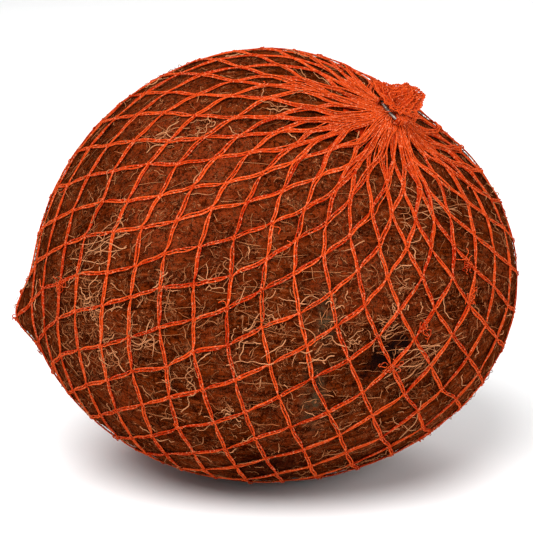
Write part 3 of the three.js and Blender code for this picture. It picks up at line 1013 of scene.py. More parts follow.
@dataclass
class Wisps:
    """The bunches of loose hair that stand out on the coat."""

    form: HuskForm
    radius: float = 0.1
    joints: int = 14
    lowest: float = 0.15  # of a hair's middle over the smooth nut
    finish: FibreFinish = FibreFinish("wisp_finish", (0.54, 0.235, 0.105), (0.24, 0.072, 0.024))
    seed: int = 71
    bunches: tuple[Wisp, ...] = (
        Wisp((-0.845, -0.533, 0.055), (0.4, -0.5, 0.7), 8.0, 15, 7.0, 2.0, 1.0),
        Wisp((-0.78, -0.60, -0.10), (0.7, -0.5, 0.3), 8.0, 6, 11.0, 1.2),
        Wisp((-0.81, -0.509, 0.291), (0.687, -0.593, 0.419), 19.0, 11, 4.5, 0.5),
        Wisp((-0.737, -0.519, 0.434), (0.734, -0.327, 0.596), 7.0, 8, 7.0, 1.4),
        Wisp((-0.544, -0.412, 0.731), (0.849, -0.497, 0.179), 9.0, 10, 5.0, 0.8),
        Wisp((-0.40, -0.45, 0.80), (0.849, -0.3, 0.2), 7.0, 10, 8.0, 1.4),
        Wisp((0.602, -0.641, 0.476), (0.847, 0.454, -0.277), 20.0, 10, 4.5, 0.3),
        Wisp((0.48, -0.74, 0.46), (0.8, 0.3, -0.5), 10.0, 6, 9.0, 1.0),
        Wisp((0.466, -0.869, -0.17), (0.804, 0.313, 0.505), 14.0, 6, 4.0, 0.35),
        Wisp((0.551, -0.828, -0.106), (0.862, 0.489, 0.131), 19.0, 7, 3.0, 0.35),
        Wisp((0.314, -0.949, 0.026), (0.94, 0.316, 0.128), 8.0, 7, 3.5, 1.0),
        Wisp((-0.403, -0.883, 0.242), (0.375, 0.182, 0.909), 9.0, 7, 9.0, 1.3),
        Wisp((-0.292, -0.956, 0.013), (0.468, -0.172, -0.867), 9.0, 6, 6.0, 1.6),
        Wisp((0.858, -0.29, 0.424), (0.613, 0.645, -0.456), 11.0, 3, 3.0, 1.0, 1.6),
        Wisp((0.439, -0.787, -0.434), (-0.07, -0.551, 0.832), 17.0, 3, 3.0, 0.6),
        Wisp((-0.554, -0.806, -0.207), (0.344, -0.373, 0.862), 12.0, 6, 8.0, 1.2),
        Wisp((-0.667, -0.743, -0.054), (0.687, -0.48, 0.546), 11.0, 7, 5.0, 0.9),
        Wisp((-0.6, -0.78, 0.12), (0.8, -0.4, 0.3), 8.0, 8, 14.0, 1.6),
        Wisp((-0.2, -0.95, 0.15), (0.8, -0.2, 0.4), 7.0, 12, 14.0, 2.0),
        Wisp((0.1, -0.97, 0.1), (0.8, 0.1, 0.4), 6.0, 12, 16.0, 2.0),
        Wisp((0.4, -0.88, 0.2), (0.8, 0.3, -0.4), 6.0, 12, 16.0, 2.0),
        Wisp((-0.005, -0.999, -0.053), (0.929, 0.04, -0.368), 8.0, 6, 7.0, 1.2),
        Wisp((-0.35, -0.88, -0.32), (0.8, -0.3, 0.3), 6.0, 12, 18.0, 2.0),
        Wisp((-0.125, -0.458, 0.88), (0.956, -0.266, -0.128), 7.0, 6, 2.5, 0.5),
        Wisp((0.3, 0.85, 0.42), (0.9, -0.3, 0.2), 12.0, 14, 8.0, 1.2),
        Wisp((-0.5, 0.8, -0.2), (0.7, 0.3, 0.5), 9.0, 18, 10.0, 1.8),
        Wisp((0.9, 0.35, 0.1), (0.2, 0.5, 0.8), 8.0, 14, 9.0, 1.8),
        Wisp((-0.3, 0.5, 0.8), (0.9, 0.2, 0.3), 12.0, 10, 7.0, 0.9),
    )

    def build(self) -> Piece:
        """Makes all the bunches as one piece."""
        rng = np.random.default_rng(self.seed)
        hairs = [self._hair(rng, bunch) for bunch in self.bunches for _ in range(bunch.count)]
        tree = ThreadTree(sides=4, waver=0.1, pitch=2.0, seed=9)
        piece = tree.lay("hair_wisps", hairs, self.finish.material())
        declare([piece])
        return piece

    def _hair(self, rng: Random, bunch: Wisp) -> Thread:
        """One hair of a bunch."""
        middle = unit(bunch.middle)
        along, across = square_to(middle, bunch.heading)
        length = bunch.length * rng.uniform(0.45, 1.05)
        turn = smooth_noise(rng, self.joints, 5) * bunch.curl + rng.normal(0, 0.1 + 0.5 * bunch.curl)
        path = np.cumsum(swung(along, across, turn) * length / self.joints, axis=0)
        path -= path.mean(axis=0)
        start = middle * self.form.radius(middle)
        shift = across * rng.uniform(-0.5, 0.5) * bunch.width + along * rng.normal(0, 0.16) * bunch.length
        lift = self.lowest + bunch.lift * np.abs(smooth_noise(rng, self.joints, 3)) ** 1.5
        points = self.form.laid(start + shift + path, lift)
        return Thread(points, self.radius * rng.uniform(0.6, 1.35), rng.uniform(0, 1))


# ---- The net ----


@dataclass
class TautLine:
    """A line drawn tight over the nut from one gather to the other, in one half plane."""

    side: Array
    points: Array  # distance from the axis, and height along it
    lengths: Array

    @property
    def total(self) -> float:
        """The line's whole length."""
        return float(self.lengths[-1])

    def at(self, distance: float | Array) -> Array:
        """Distance from the axis and height, at a distance along the line."""
        columns = [np.interp(distance, self.lengths, self.points[:, i]) for i in (0, 1)]
        return np.stack(columns, -1)

    def in_space(self, flat: Array) -> Array:
        """Points of the half plane as points round the nut."""
        return flat[..., :1] * self.side + flat[..., 1:] * AXIS


@dataclass
class Drape:
    """How the net lies: taut lines between the gathers, crossed by rows of knots."""

    form: HuskForm
    columns: int = 28  # of meshes round the nut
    side: float = 9.2  # of a mesh
    clearance: float = 0.45  # of the taut lines over the nut
    least_gap: float = 0.35  # of a straight yarn over the nut
    most_gap: float = 0.42  # of a knot over the nut, away from the gathers
    neck_radius: float = 3.2
    neck_above: float = 3.0  # from the nut to the first row of knots
    neck_below: float = 1.5  # from the nut to the last row of knots
    first_turn: float = 5.871  # of the first column round the axis
    twist: float = 0.131  # of the columns from end to end
    bunch_x: float = -0.095  # how far the columns crowd together on one side
    bunch_y: float = -0.233
    row_shift: float = -0.019  # how far the rows crowd towards the upper gather
    least_step: float = 2.0  # from one row to the next

    def line(self, side: Array, steps: int = 70) -> TautLine:
        """The taut line in the half plane of the axis and a side direction."""
        angles = math.pi * np.arange(1, steps) / steps
        reach = self.form.radius(swung(AXIS, side, angles)) + self.clearance
        over = np.stack([reach * np.sin(angles), reach * np.cos(angles)], -1)
        top = float(self.form.radius(AXIS)) + self.neck_above
        bottom = float(self.form.radius(-AXIS)) + self.neck_below
        points = self._tautened([(self.neck_radius, top), *over.tolist(), (self.neck_radius, -bottom)])
        lengths = np.concatenate([[0], np.cumsum(np.linalg.norm(np.diff(points, axis=0), axis=1))])
        return TautLine(side, points, lengths)

    @staticmethod
    def _tautened(points: list) -> Array:
        """The points that a string drawn over them would touch."""
        kept: list = []
        for x, y in points:
            while len(kept) > 1:
                (x0, y0), (x1, y1) = kept[-2:]
                if (x1 - x0) * (y - y0) - (y1 - y0) * (x - x0) < 0:
                    break
                kept.pop()
            kept.append((x, y))
        return np.array(kept)

    def side_at(self, angle: float | Array) -> Array:
        """Unit vector square to the gathers' axis, at an angle round it."""
        return swung(*square_to(AXIS, np.cross(AXIS, (0, 0, 1))), angle)

    def turn_of(self, column: float, share: float) -> float:
        """Angle of a column round the axis, at a share of the way down."""
        even = self.first_turn + math.pi * column / self.columns + self.twist * (share - 0.5)
        return even + self.bunch_x * math.cos(even) + self.bunch_y * math.sin(even)

    def row_shares(self, samples: int = 36) -> Array:
        """Where the rows of knots lie, as shares of a taut line."""
        lines = [self.line(self.side_at(FULL_TURN * i / samples)) for i in range(samples)]
        length = sum(line.total for line in lines) / samples
        edges = [0.0]
        while edges[-1] < length:
            middle = min((edges[-1] + self.side / 2) / length, 1)
            radius = sum(float(line.at(middle * line.total)[0]) for line in lines) / samples
            half_cell = math.pi * radius / self.columns
            edges.append(edges[-1] + math.sqrt(max(self.side**2 - half_cell**2, self.least_step**2)))
        even = np.array(edges) / edges[-1]
        return even + self.row_shift * np.sin(math.pi * even)

    def knots(self) -> Array:
        """Knots by row and column, in every second column, with nan in the others."""
        shares = self.row_shares()
        knots = np.full((len(shares), 2 * self.columns, 3), np.nan)
        for row, column in knot_places(knots):
            line = self.line(self.side_at(self.turn_of(column, shares[row])))
            knots[row, column] = line.in_space(line.at(shares[row] * line.total))
        knots[1:-1] = self.form.held(knots[1:-1], 0.0, self.most_gap)
        self._lift_clear(knots)
        knots[..., 2] = np.maximum(knots[..., 2], self.form.flat_z - self.clearance)
        return knots

    def _lift_clear(self, knots: Array, passes: int = 12) -> None:
        """Moves knots outwards until no yarn between them is too near the nut."""
        yarns = list(yarn_ends(knots))
        for _ in range(passes):
            for start, end in yarns:
                for share in (0.25, 0.5, 0.75):
                    point = knots[start] * (1 - share) + knots[end] * share
                    length = math.sqrt(float(point @ point))
                    outwards = point / length
                    shortfall = float(self.form.radius(outwards)) + self.least_gap - length
                    if shortfall > 0:
                        knots[start] += outwards * shortfall * (1 - share)
                        knots[end] += outwards * shortfall * share


def knot_places(knots: Array, margin: int = 0) -> list[Place]:
    """The places of all knots, without those in the first and last few rows."""
    rows, columns = knots.shape[:2]
    return [(row, column) for row in range(margin, rows - margin) for column in range(row % 2, columns, 2)]


def yarn_ends(knots: Array) -> list[tuple[Place, Place]]:
    """The places of both knots of every yarn."""
    columns = knots.shape[1]
    return [
        ((row, column), (row + 1, (column + way) % columns))
        for row, column in knot_places(knots[:-1])
        for way in (1, -1)
    ]


class Lay(Enum):
    """What a thread does at a knot."""

    CROSSES = "crosses"
    TURNS_BACK = "turns back"
    BINDS = "binds the other two"


@dataclass(frozen=True)
class Wrap:
    """The thread wound round a knot."""

    radius: float = 0.14
    joints: int = 13
    turns: float = 1.5
    half_length: float = 0.55
    half_width: float = 0.46
    half_height: float = 0.28
    height: float = 0.2  # of its middle over the knot's
    full_room: float = 3.0  # between knots, under which it is smaller
    least_gap: float = 0.18


@dataclass(frozen=True)
class LooseThread:
    """A thin thread that has come loose."""

    radius: float
    joints: int
    curl: float  # how much it may turn at each joint, in radians
    bends: int = 4

    def headings(self, rng: Random, first: Array, second: Array) -> Array:
        """The way it heads at each joint, in the plane of two vectors."""
        turns = np.cumsum(smooth_noise(rng, self.joints, self.bends)) * self.curl
        return swung(first, second, turns + rng.uniform(0, FULL_TURN))


@dataclass
class Net:
    """The net's yarns, each of two threads and a thin binding one, with wrapped knots."""

    drape: Drape
    finish: ThreadFinish = ThreadFinish("net_thread_finish")
    seed: int = 17
    bunching: tuple[float, ...] = (1.0, 0.9, 0.6, 0.3, 0.12)  # in the first and last rows, going inwards
    bunches: tuple[Triple, ...] = ((0.10, 7, 1.3), (0.06, 11, 4.0))  # turn, how many, and place
    lower_bunches: float = 2.0  # how far those of the lower half are turned round
    unevenness: float = 0.5  # how far a knot strays from its even place
    even_room: float = 9.0  # between knots, under which they stray less
    joints: int = 9  # points of each thread along a yarn
    thread_radius: float = 0.2
    thread_gap: float = 0.29  # furthest from a yarn's middle line to a thread's
    thread_height: float = 0.2  # of the threads over the knots
    binder_radius: float = 0.13
    binder_gap: float = 0.2
    binder_height: float = 0.26
    binder_joints: int = 11
    loops: int = 5  # of the binding thread along a yarn
    weave: float = 0.1  # how far threads rise and sink from knot to knot
    crossing: float = 0.12  # how far they rise over each other at a knot
    knot_gap: float = 0.36  # from a knot's middle to the threads that turn back
    knot_room: float = 2.2  # between knots, under which the threads lie closer together
    crossing_pull: float = 0.16  # how far threads bend down the net at a knot
    turning_pull: float = 0.3
    narrow_from: float = 0.84  # of a yarn's lean to the way down the net, from 0 to 1
    narrow_growth: float = 10.0
    narrow_pull: float = 0.65
    rest: float = 0.08  # from a thread to the smooth nut
    hug: float = 0.7  # furthest that a thread stands off the nut
    swell: float = 0.28  # how much a thread's radius changes along it
    swells: int = 40
    wrap: Wrap = Wrap()
    stray: LooseThread = LooseThread(0.12, 14, 0.9)
    stray_share: float = 0.15  # of the knots that have one
    fray: LooseThread = LooseThread(0.1, 11, 0.7)
    fray_threads: int = 9
    fray_step: float = 0.3
    frays: tuple[Triple, ...] = (
        (0.695, -0.681, 0.232), (0.722, -0.688, 0.078), (0.474, -0.880, -0.030),
        (0.325, -0.932, -0.157), (-0.930, -0.355, 0.099),
    )

    def __post_init__(self) -> None:
        """Lays the knots out."""
        self.rng = np.random.default_rng(self.seed)
        self.knots = self.drape.knots()
        self._bunch_up()
        self._unsettle()
        self._measure_knots()

    def build(self) -> list[Piece]:
        """Makes the net's pieces, which stand for the CAD node."""
        material = self.finish.material()
        tree = ThreadTree(sides=4, waver=0.08, pitch=2.2, seed=3)
        threads = self._threads(Lay.CROSSES) + self._threads(Lay.TURNS_BACK)
        yarns = tree.lay("net_yarns", threads, material)
        stitches = [self._stitch(place) for place in knot_places(self.knots, margin=2)]
        wraps = tree.lay("net_stitches", stitches, material)
        strays = tree.lay("net_strays", self._strays() + self._frays(), material)
        thin_tree = ThreadTree(sides=3, waver=0.05, pitch=2.2, seed=4)
        binders = thin_tree.lay("net_binders", self._threads(Lay.BINDS), material)
        pieces = [yarns, wraps, strays, binders]
        declare(pieces, "net")
        return pieces

    def covered_area(self) -> float:
        """Square metres that the yarns cover, with their threads side by side."""
        below, above = self.knots[1:], self.knots[:-1]
        yarns = [np.linalg.norm(below - np.roll(above, way, axis=1), axis=-1) for way in (1, -1)]
        return float(np.nansum(yarns)) * (4 * self.thread_radius + 2 * self.binder_radius) * MM**2

    def _bunch_up(self) -> None:
        """Draws the columns into uneven ribbons near the gathers."""
        rows, columns = self.knots.shape[:2]
        for row, column in knot_places(self.knots):
            step = min(row, rows - 1 - row)
            if step < len(self.bunching):
                place = FULL_TURN * column / columns + (0.0 if row < rows / 2 else self.lower_bunches)
                turn = sum(most * math.sin(count * place + start) for most, count, start in self.bunches)
                knot = self.knots[row, column]
                self.knots[row, column] = self._turned(knot, turn * self.bunching[step])

    def _turned(self, knot: Array, angle: float) -> Array:
        """A knot turned round the gathers' axis, at the same height over the nut."""
        length = np.linalg.norm(knot)
        gap = length - float(self.drape.form.radius(knot / length))
        along = AXIS * (knot @ AXIS)
        moved = along + (knot - along) * math.cos(angle) + np.cross(AXIS, knot) * math.sin(angle)
        return self.drape.form.laid(moved, gap)

    def _unsettle(self) -> None:
        """Moves the knots a little along the nut, less where they stand close."""
        for place in knot_places(self.knots, margin=1):
            knot = self.knots[place]
            shift = self.rng.normal(0, 1, 3).clip(-1.6, 1.6) * self.unevenness
            moved = knot + shift * min(1.0, self._room(place) / self.even_room)
            self.knots[place] = unit(moved) * np.linalg.norm(knot)

    def _measure_knots(self) -> None:
        """Finds each knot's outward direction and the way down the net."""
        self.outwards = np.zeros_like(self.knots)
        self.down = np.zeros_like(self.knots)
        for place in knot_places(self.knots):
            down_right, down_left = (self._next(place, 1, right) for right in (1, -1))
            up_right, up_left = (self._next(place, -1, right) for right in (1, -1))
            rightwards = down_right + up_right - down_left - up_left
            upwards = up_right + up_left - down_right - down_left
            self.outwards[place] = unit(np.cross(rightwards, upwards))
            self.down[place] = unit(-upwards)

    def _next(self, place: Place, down: int, right: int) -> Array:
        """The knot a step away, or past the net's ends the opposite one's image."""
        (row, column), (rows, columns) = place, self.knots.shape[:2]
        if 0 <= row + down < rows:
            return self.knots[row + down, (column + right) % columns]
        return 2 * self.knots[place] - self.knots[row - down, (column - right) % columns]

    def _threads(self, lay: Lay) -> list[Thread]:
        """All threads of one lay, from the top row of knots to the bottom one."""
        starts = range(0, self.knots.shape[1], 2)
        return [self._thread(self._route(start, way, lay), lay) for start in starts for way in (1, -1)]

    def _thread(self, route: list[Step], lay: Lay) -> Thread:
        """The thread that follows a route."""
        parts = [self._yarn(start, end, lay, way) for start, end, way in route]
        last_knot = self.knots[route[-1][1]]
        path = np.concatenate([*parts, last_knot[None]])
        most = np.full(len(path), self.hug)
        most[: len(parts[0])] = most[-len(parts[0]) :] = np.inf
        path = self.drape.form.held(path, self.thread_radius + self.rest, most)
        swell = 1 + self.swell * smooth_noise(self.rng, len(path), self.swells)
        radius = self.binder_radius if lay is Lay.BINDS else self.thread_radius
        return Thread(path, radius * self.rng.uniform(0.9, 1.1) * swell, self.rng.uniform(0, 1))

    def _route(self, start: int, way: int, lay: Lay) -> list[Step]:
        """The yarns that a thread follows, from the top row of knots down."""
        rows, columns = self.knots.shape[:2]
        route = []
        column = start
        for row in range(rows - 1):
            following = (column + way) % columns
            route.append(((row, column), (row + 1, following), way))
            column = following
            if lay is Lay.TURNS_BACK:
                way = -way
        return route

    def _yarn(self, start: Place, end: Place, lay: Lay, way: int) -> Array:
        """A thread's points along one yarn.

        Args:
            start: The knot that it leaves.
            end: The next knot down.
            lay: What the thread does at its knots.
            way: 1 where it heads right, and -1 where it heads left.

        Returns:
            The points, without the last one.
        """
        joints = self.binder_joints if lay is Lay.BINDS else self.joints
        share = (np.arange(joints) / joints)[:, None]
        pull = self.turning_pull if lay is Lay.TURNS_BACK else self.crossing_pull
        path = self.middle_line(start, end, share, pull)
        outwards = unit(self.outwards[start] * (1 - share) + self.outwards[end] * share)
        sideways = unit(np.cross(unit(self.knots[end] - self.knots[start]), outwards))
        room = [min(1.0, self._room(knot) / self.knot_room) for knot in (start, end)]
        narrow = room[0] * (1 - share) + room[1] * share
        ends = np.cos(math.pi * share)
        side = 1.0 if start[0] % 2 else -1.0
        gap = self.thread_gap * self.rng.uniform(0.7, 1.4)
        apart = gap * side * np.sin(math.pi * share) ** 0.6
        if lay is Lay.BINDS:
            wound = self.loops * math.pi * share
            offset = self.binder_gap * side * np.sin(wound)
            height = self.binder_height + self.weave * np.cos(2 * wound)
        elif lay is Lay.TURNS_BACK:
            offset = -apart - way * self.knot_gap * ends**3
            height = self.thread_height - self.weave * ends
        else:
            offset = apart
            height = self.thread_height + self.weave * ends + self.crossing * way * ends**2
        return path + sideways * offset * narrow + outwards * height * narrow

    def middle_line(self, start: Place, end: Place, share: Array, pull: float) -> Array:
        """Points on a yarn's middle line.

        Args:
            start: The knot that it leaves.
            end: The next knot down.
            share: How far along the points are, from 0 to 1, as a column.
            pull: How far the yarn bends down the net at its knots.

        Returns:
            The points.
        """
        first, last = self.knots[start], self.knots[end]
        length = np.linalg.norm(last - first)
        straight = unit(last - first)
        leaving, arriving = (self._way_at(straight, self.down[k], pull) * length for k in (start, end))
        return (
            (2 * share**3 - 3 * share**2 + 1) * first
            + (share**3 - 2 * share**2 + share) * leaving
            + (3 * share**2 - 2 * share**3) * last
            + (share**3 - share**2) * arriving
        )

    def _way_at(self, straight: Array, down: Array, pull: float) -> Array:
        """Way of a yarn at a knot, which bends more where the meshes are narrow."""
        narrow = np.clip((straight @ down - self.narrow_from) * self.narrow_growth, 0, 1)
        bend = pull + self.narrow_pull * narrow
        return unit(straight * (1 - bend) + down * bend)

    def _room(self, place: Place) -> float:
        """Space between a knot and the next one of its row."""
        knot = self.knots[place]
        from_axis = np.linalg.norm(knot - AXIS * (knot @ AXIS))
        return FULL_TURN * float(from_axis) / self.drape.columns

    def _around(self, place: Place) -> tuple[Array, Array, Array, Array]:
        """A knot, and the directions outwards, down the net and across it there."""
        outwards, down = self.outwards[place], self.down[place]
        return self.knots[place], outwards, down, np.cross(down, outwards)

    def _stitch(self, place: Place) -> Thread:
        """The turns of thread that bind the yarns together at one knot."""
        knot, outwards, down, across = self._around(place)
        wrap = self.wrap
        turn = np.linspace(0, FULL_TURN * wrap.turns, wrap.joints)[:, None] + self.rng.uniform(0, FULL_TURN)
        climb = np.linspace(-wrap.half_length, wrap.half_length, wrap.joints)[:, None]
        climb = climb * self.rng.uniform(0.8, 1.4)
        size = min(1.0, self._room(place) / wrap.full_room) * self.rng.uniform(0.75, 1.15)
        points = (
            knot
            + outwards * (wrap.height + wrap.half_height * size * np.sin(turn))
            + across * wrap.half_width * size * np.cos(turn)
            + down * climb
        )
        return Thread(self.drape.form.held(points, wrap.least_gap), wrap.radius, self.rng.uniform(0.2, 1.0))

    def _strays(self) -> list[Thread]:
        """Loose loops and broken ends at some of the knots."""
        places = knot_places(self.knots, margin=3)
        return [self._stray(place) for place in places if self.rng.uniform() < self.stray_share]

    def _stray(self, place: Place) -> Thread:
        """A loose loop, or an end that sticks out, at one knot."""
        knot, outwards, down, across = self._around(place)
        headings = self.stray.headings(self.rng, across, down)
        steps = headings * self.rng.uniform(0.14, 0.32)
        lift = np.linspace(0.25, self.rng.uniform(0.0, 0.5), self.stray.joints)[:, None]
        points = knot + np.cumsum(steps, axis=0) + outwards * lift
        points = self.drape.form.held(points, self.thread_radius)
        return Thread(points, self.stray.radius, self.rng.uniform(0.3, 1.0))

    def _frays(self) -> list[Thread]:
        """Tangles of thin thread where a yarn has frayed."""
        return [self._fray(unit(middle)) for middle in self.frays for _ in range(self.fray_threads)]

    def _fray(self, middle: Array) -> Thread:
        """One thread of a tangle."""
        along, across = square_to(middle, (0.0, 0.0, 1.0))
        steps = self.fray.headings(self.rng, along, across) * self.fray_step
        start = middle * self.drape.form.radius(middle) + along * self.rng.normal(0, 0.6)
        lift = 0.5 + 0.9 * np.abs(smooth_noise(self.rng, self.fray.joints, 3))
        points = start + across * self.rng.normal(0, 0.5) + np.cumsum(steps, axis=0)
        return Thread(self.drape.form.laid(points, lift), self.fray.radius, self.rng.uniform(0, 1))


# ---- The gathers ----


@dataclass(frozen=True)
class Lobe:
    """A part of a frill that stands out, at an angle in degrees from the clip's crown."""

    angle: float
    spread: float
    reach: float
    rise: float


@dataclass
class Gather:
    """One end of the net: drawn strands, a waist inside the clip, and a ruffled frill.

    The frill has layers one inside another. On it, a share of 0 is at the waist and 1 at the rim.
    """

    name: str
    net: Net
    axis: Array  # from the nut's centre through the gather
    crown: Triple  # the clip's bend lies as near to this way as it can
    neck: float  # from the nut to the outermost row of knots
    lean: float  # how far the frill's rim leans uphill
    reach: float  # of the frill's rim from the axis
    rise: float  # of the frill's rim over the waist
    ruffles: int
    ruffle_depth: float
    seed: int
    lobes: tuple[Lobe, ...] = ()
    loose_ends: tuple[tuple[Triple, ...], ...] = ()  # points crownwise, across and up from the waist
    extra_strands: tuple[float, ...] = (4.0, 2.4, 1.2, 0.5)  # per yarn, from the second row on
    full_sides: tuple[tuple[Triple, tuple[float, ...]], ...] = ()  # where still more are drawn in
    strand_radius: float = 0.17
    strand_joints: int = 5  # along each yarn
    strand_gap: float = 0.3  # least, over the smooth nut
    waist_height: float = 1.7
    waist_crownwise: float = 2.6
    waist_across: float = 1.1
    clip_room: float = 1.35  # from the waist to outside of the clip
    layers: tuple[tuple[float, float, int], ...] = (  # size, turn of the ruffles, and zigzags round it
        (1.0, 0.0, 72), (0.97, 0.35, 72), (0.72, 1.7, 34), (0.45, 3.1, 34),
    )
    rings: tuple[float, ...] = (0.74, 0.9, 1.0)  # shares at which threads run round a layer
    pinch: float = 0.9  # how far the frill is drawn in between waist and rim
    flutter: float = 0.2  # how far the rim goes up and down with the ruffles
    lean_from: float = 0.9  # height over the waist
    least_reach: float = 0.3
    skirt_start: float = 0.4  # from the last row of knots to the crushed net's upper ring
    skirt_edge: float = 5.0  # and to its ragged edge
    skirt_raggedness: float = 1.8
    full_skirt: float = 3.0  # how much further it reaches on the full sides
    skirt_sides: int = 120
    skirt_least: float = 0.2  # gaps over the smooth nut
    skirt_most: float = 0.45
    neck_most: float = 3.0  # added at the neck, fading out over the next length
    neck_fade: float = 6.0

    def __post_init__(self) -> None:
        """Works out the gather's own directions."""
        self.crownwise, self.across = square_to(self.axis, self.crown)
        _, self.uphill = square_to(self.axis, np.cross((0, 0, 1), self.axis))
        self.drape = self.net.drape
        self.is_top = float(self.axis @ AXIS) > 0
        self.waist = float(self.drape.form.radius(self.axis)) + self.neck + self.waist_height
        self.rng = np.random.default_rng(self.seed)

    def build(self) -> list[Piece]:
        """Makes the drawn strands, the frill and the crushed net behind them."""
        material = ThreadFinish(f"{self.name}_thread_finish").material()
        tree = ThreadTree(sides=3, waver=0.12, pitch=1.8, seed=self.seed)
        strands = tree.lay(f"{self.name}_strands", self._strands() + self._loose_ends(), material)
        fine_tree = ThreadTree(sides=3, waver=0.05, pitch=1.6, seed=self.seed)
        smooth = ThreadFinish(f"{self.name}_frill_finish", painted_highlights=0.25).material()
        frill = fine_tree.lay(f"{self.name}_frill", self._frill_threads(), smooth)
        pieces = [strands, frill, self._crushed()]
        declare(pieces, "net")
        return pieces

    def outwards(self, angle: float | Array) -> Array:
        """Direction square to the axis at an angle from the clip's crown."""
        return swung(self.crownwise, self.across, angle)

    def rim(self, angle: Array, measure: str) -> Array:
        """Reach or rise of the frill's rim at an angle, with its lobes added."""
        total = np.full(np.shape(angle), float(getattr(self, measure)))
        for lobe in self.lobes:
            apart = np.mod(np.degrees(angle) - lobe.angle + 180, 360) - 180
            total = total + getattr(lobe, measure) * np.exp(-((apart / lobe.spread) ** 2))
        return total

    def waist_reach(self, angle: Array) -> Array:
        """Half width of the waist at an angle."""
        return 1 / np.hypot(np.cos(angle) / self.waist_crownwise, np.sin(angle) / self.waist_across)

    def waist_points(self, reach: Array, angle: Array, height: float) -> Array:
        """Points at a reach from the axis, and at a height over the waist's middle."""
        return self.outwards(angle) * reach + self.axis * (self.waist + height)

    def frill_point(self, angle: Array, share: Array, layer: float = 1.0, phase: float = 0.0) -> Array:
        """A point of the frill.

        Args:
            angle: Angle from the clip's crown.
            share: 0 at the waist and 1 at the rim.
            layer: 1 for the outermost layer, and less for those inside it.
            phase: Turns the layer's ruffles.

        Returns:
            The point, round the nut's centre.
        """
        ruffle = self.ruffle_depth * np.sin(self.ruffles * angle + phase)
        rim_reach = (self.rim(angle, "reach") + ruffle) * layer
        waist = self.waist_reach(angle) * (0.5 + 0.5 * layer)
        reach = waist * (1 - share) + rim_reach * share - self.pinch * np.sin(math.pi * share) * layer
        height = self.rim(angle, "rise") * (share**0.8) * (1.0 + 0.12 * (1 - layer))
        height = height + self.flutter * share * np.cos(self.ruffles * angle * 1.5 + phase)
        lean = self.lean * np.maximum(height - self.lean_from, 0) / self.rise
        radial = self.outwards(angle) * np.maximum(reach, self.least_reach)[..., None]
        return radial + self.axis * (self.waist + height)[..., None] + self.uphill * lean[..., None]

    def _strands(self) -> list[Thread]:
        """Threads that follow the yarns up through the waist to the frill's rim."""
        threads = []
        rows, columns = self.net.knots.shape[:2]
        for row, extra in enumerate(self.extra_strands, start=1):
            real_row = row if self.is_top else rows - 1 - row
            for column in range(real_row % 2, columns, 2):
                outwards, _ = square_to(self.axis, self.net.knots[real_row, column])
                fuller = [more[row - 1] * self._fullness(outwards, way) for way, more in self.full_sides]
                count = extra + sum(fuller)
                for turn in (1, -1):
                    for _ in range(int(count + self.rng.uniform())):
                        threads.append(self._strand((real_row, column), turn))
        return threads

    def _fullness(self, outwards: Array, way: Triple) -> Array:
        """How far directions share in the strands that are drawn in on one side."""
        return np.maximum(outwards @ square_to(self.axis, way)[0], 0) ** 2

    def _strand(self, place: Place, way: int) -> Thread:
        """One thread from a knot up to the frill."""
        drawn = self._along_yarns(place, way)
        count = len(drawn)
        start = np.minimum(np.arange(count) / 4, 1.0)[:, None]
        outwards = unit(drawn)
        sideways = unit(np.cross(outwards, self.axis))
        aside = smooth_noise(self.rng, count, 4)[:, None] * 0.6 + self.rng.uniform(-0.7, 0.7)
        # The tint follows the strand's lift: painted shade makes the lower strands deeper red.
        height = self.rng.uniform()
        lift = 0.1 + height * (0.3 + 0.6 * np.abs(smooth_noise(self.rng, count, 3))[:, None])
        spread = (sideways * aside + outwards * lift) * start
        drawn = self.drape.form.held(drawn + spread, self.strand_gap)
        neck = drawn[-1]
        angle = math.atan2(float(neck @ self.across), float(neck @ self.crownwise))
        fill = math.sqrt(self.rng.uniform(0.15, 1))
        path = np.concatenate([drawn, self._through_waist(angle, fill), self._to_rim(angle, fill)])
        return Thread(path, self.strand_radius * self.rng.uniform(0.7, 1.25), height)

    def _along_yarns(self, place: Place, way: int) -> Array:
        """Points on the yarns that lead from a knot to the neck."""
        net, pull = self.net, self.net.crossing_pull
        row_step = -1 if self.is_top else 1
        last_row = 0 if self.is_top else len(net.knots) - 1
        share = (np.arange(self.strand_joints) / self.strand_joints)[:, None]
        parts = []
        while place[0] != last_row:
            following = (place[0] + row_step, (place[1] + way) % net.knots.shape[1])
            if self.is_top:
                parts.append(net.middle_line(following, place, 1 - share, pull))
            else:
                parts.append(net.middle_line(place, following, share, pull))
            place = following
        return np.concatenate([*parts, net.knots[place][None]])

    def _through_waist(self, angle: float, fill: float) -> Array:
        """Points of a strand at the waist, inside the clip or round its ends."""
        reach = float(self.waist_reach(np.array(angle))) * fill
        heights = (-0.5, 0.0, 0.5)
        if abs(math.sin(angle)) < 0.6 and self.rng.uniform() < 0.5:
            reach = self.waist_crownwise + self.clip_room + self.rng.uniform(0.0, 0.35)
            heights = (-0.7, 0.1, 0.8)
        return np.array([self.waist_points(reach, angle, height) for height in heights])

    def _to_rim(self, angle: float, layer: float, joints: int = 6) -> Array:
        """The last part of a strand, over the frill to its rim."""
        share = np.linspace(0.35, self.rng.uniform(0.7, 0.98), joints)
        fan = angle + smooth_noise(self.rng, joints, 2) * 0.3
        return self.frill_point(fan, share, layer, phase=self.rng.uniform(-0.4, 0.4))

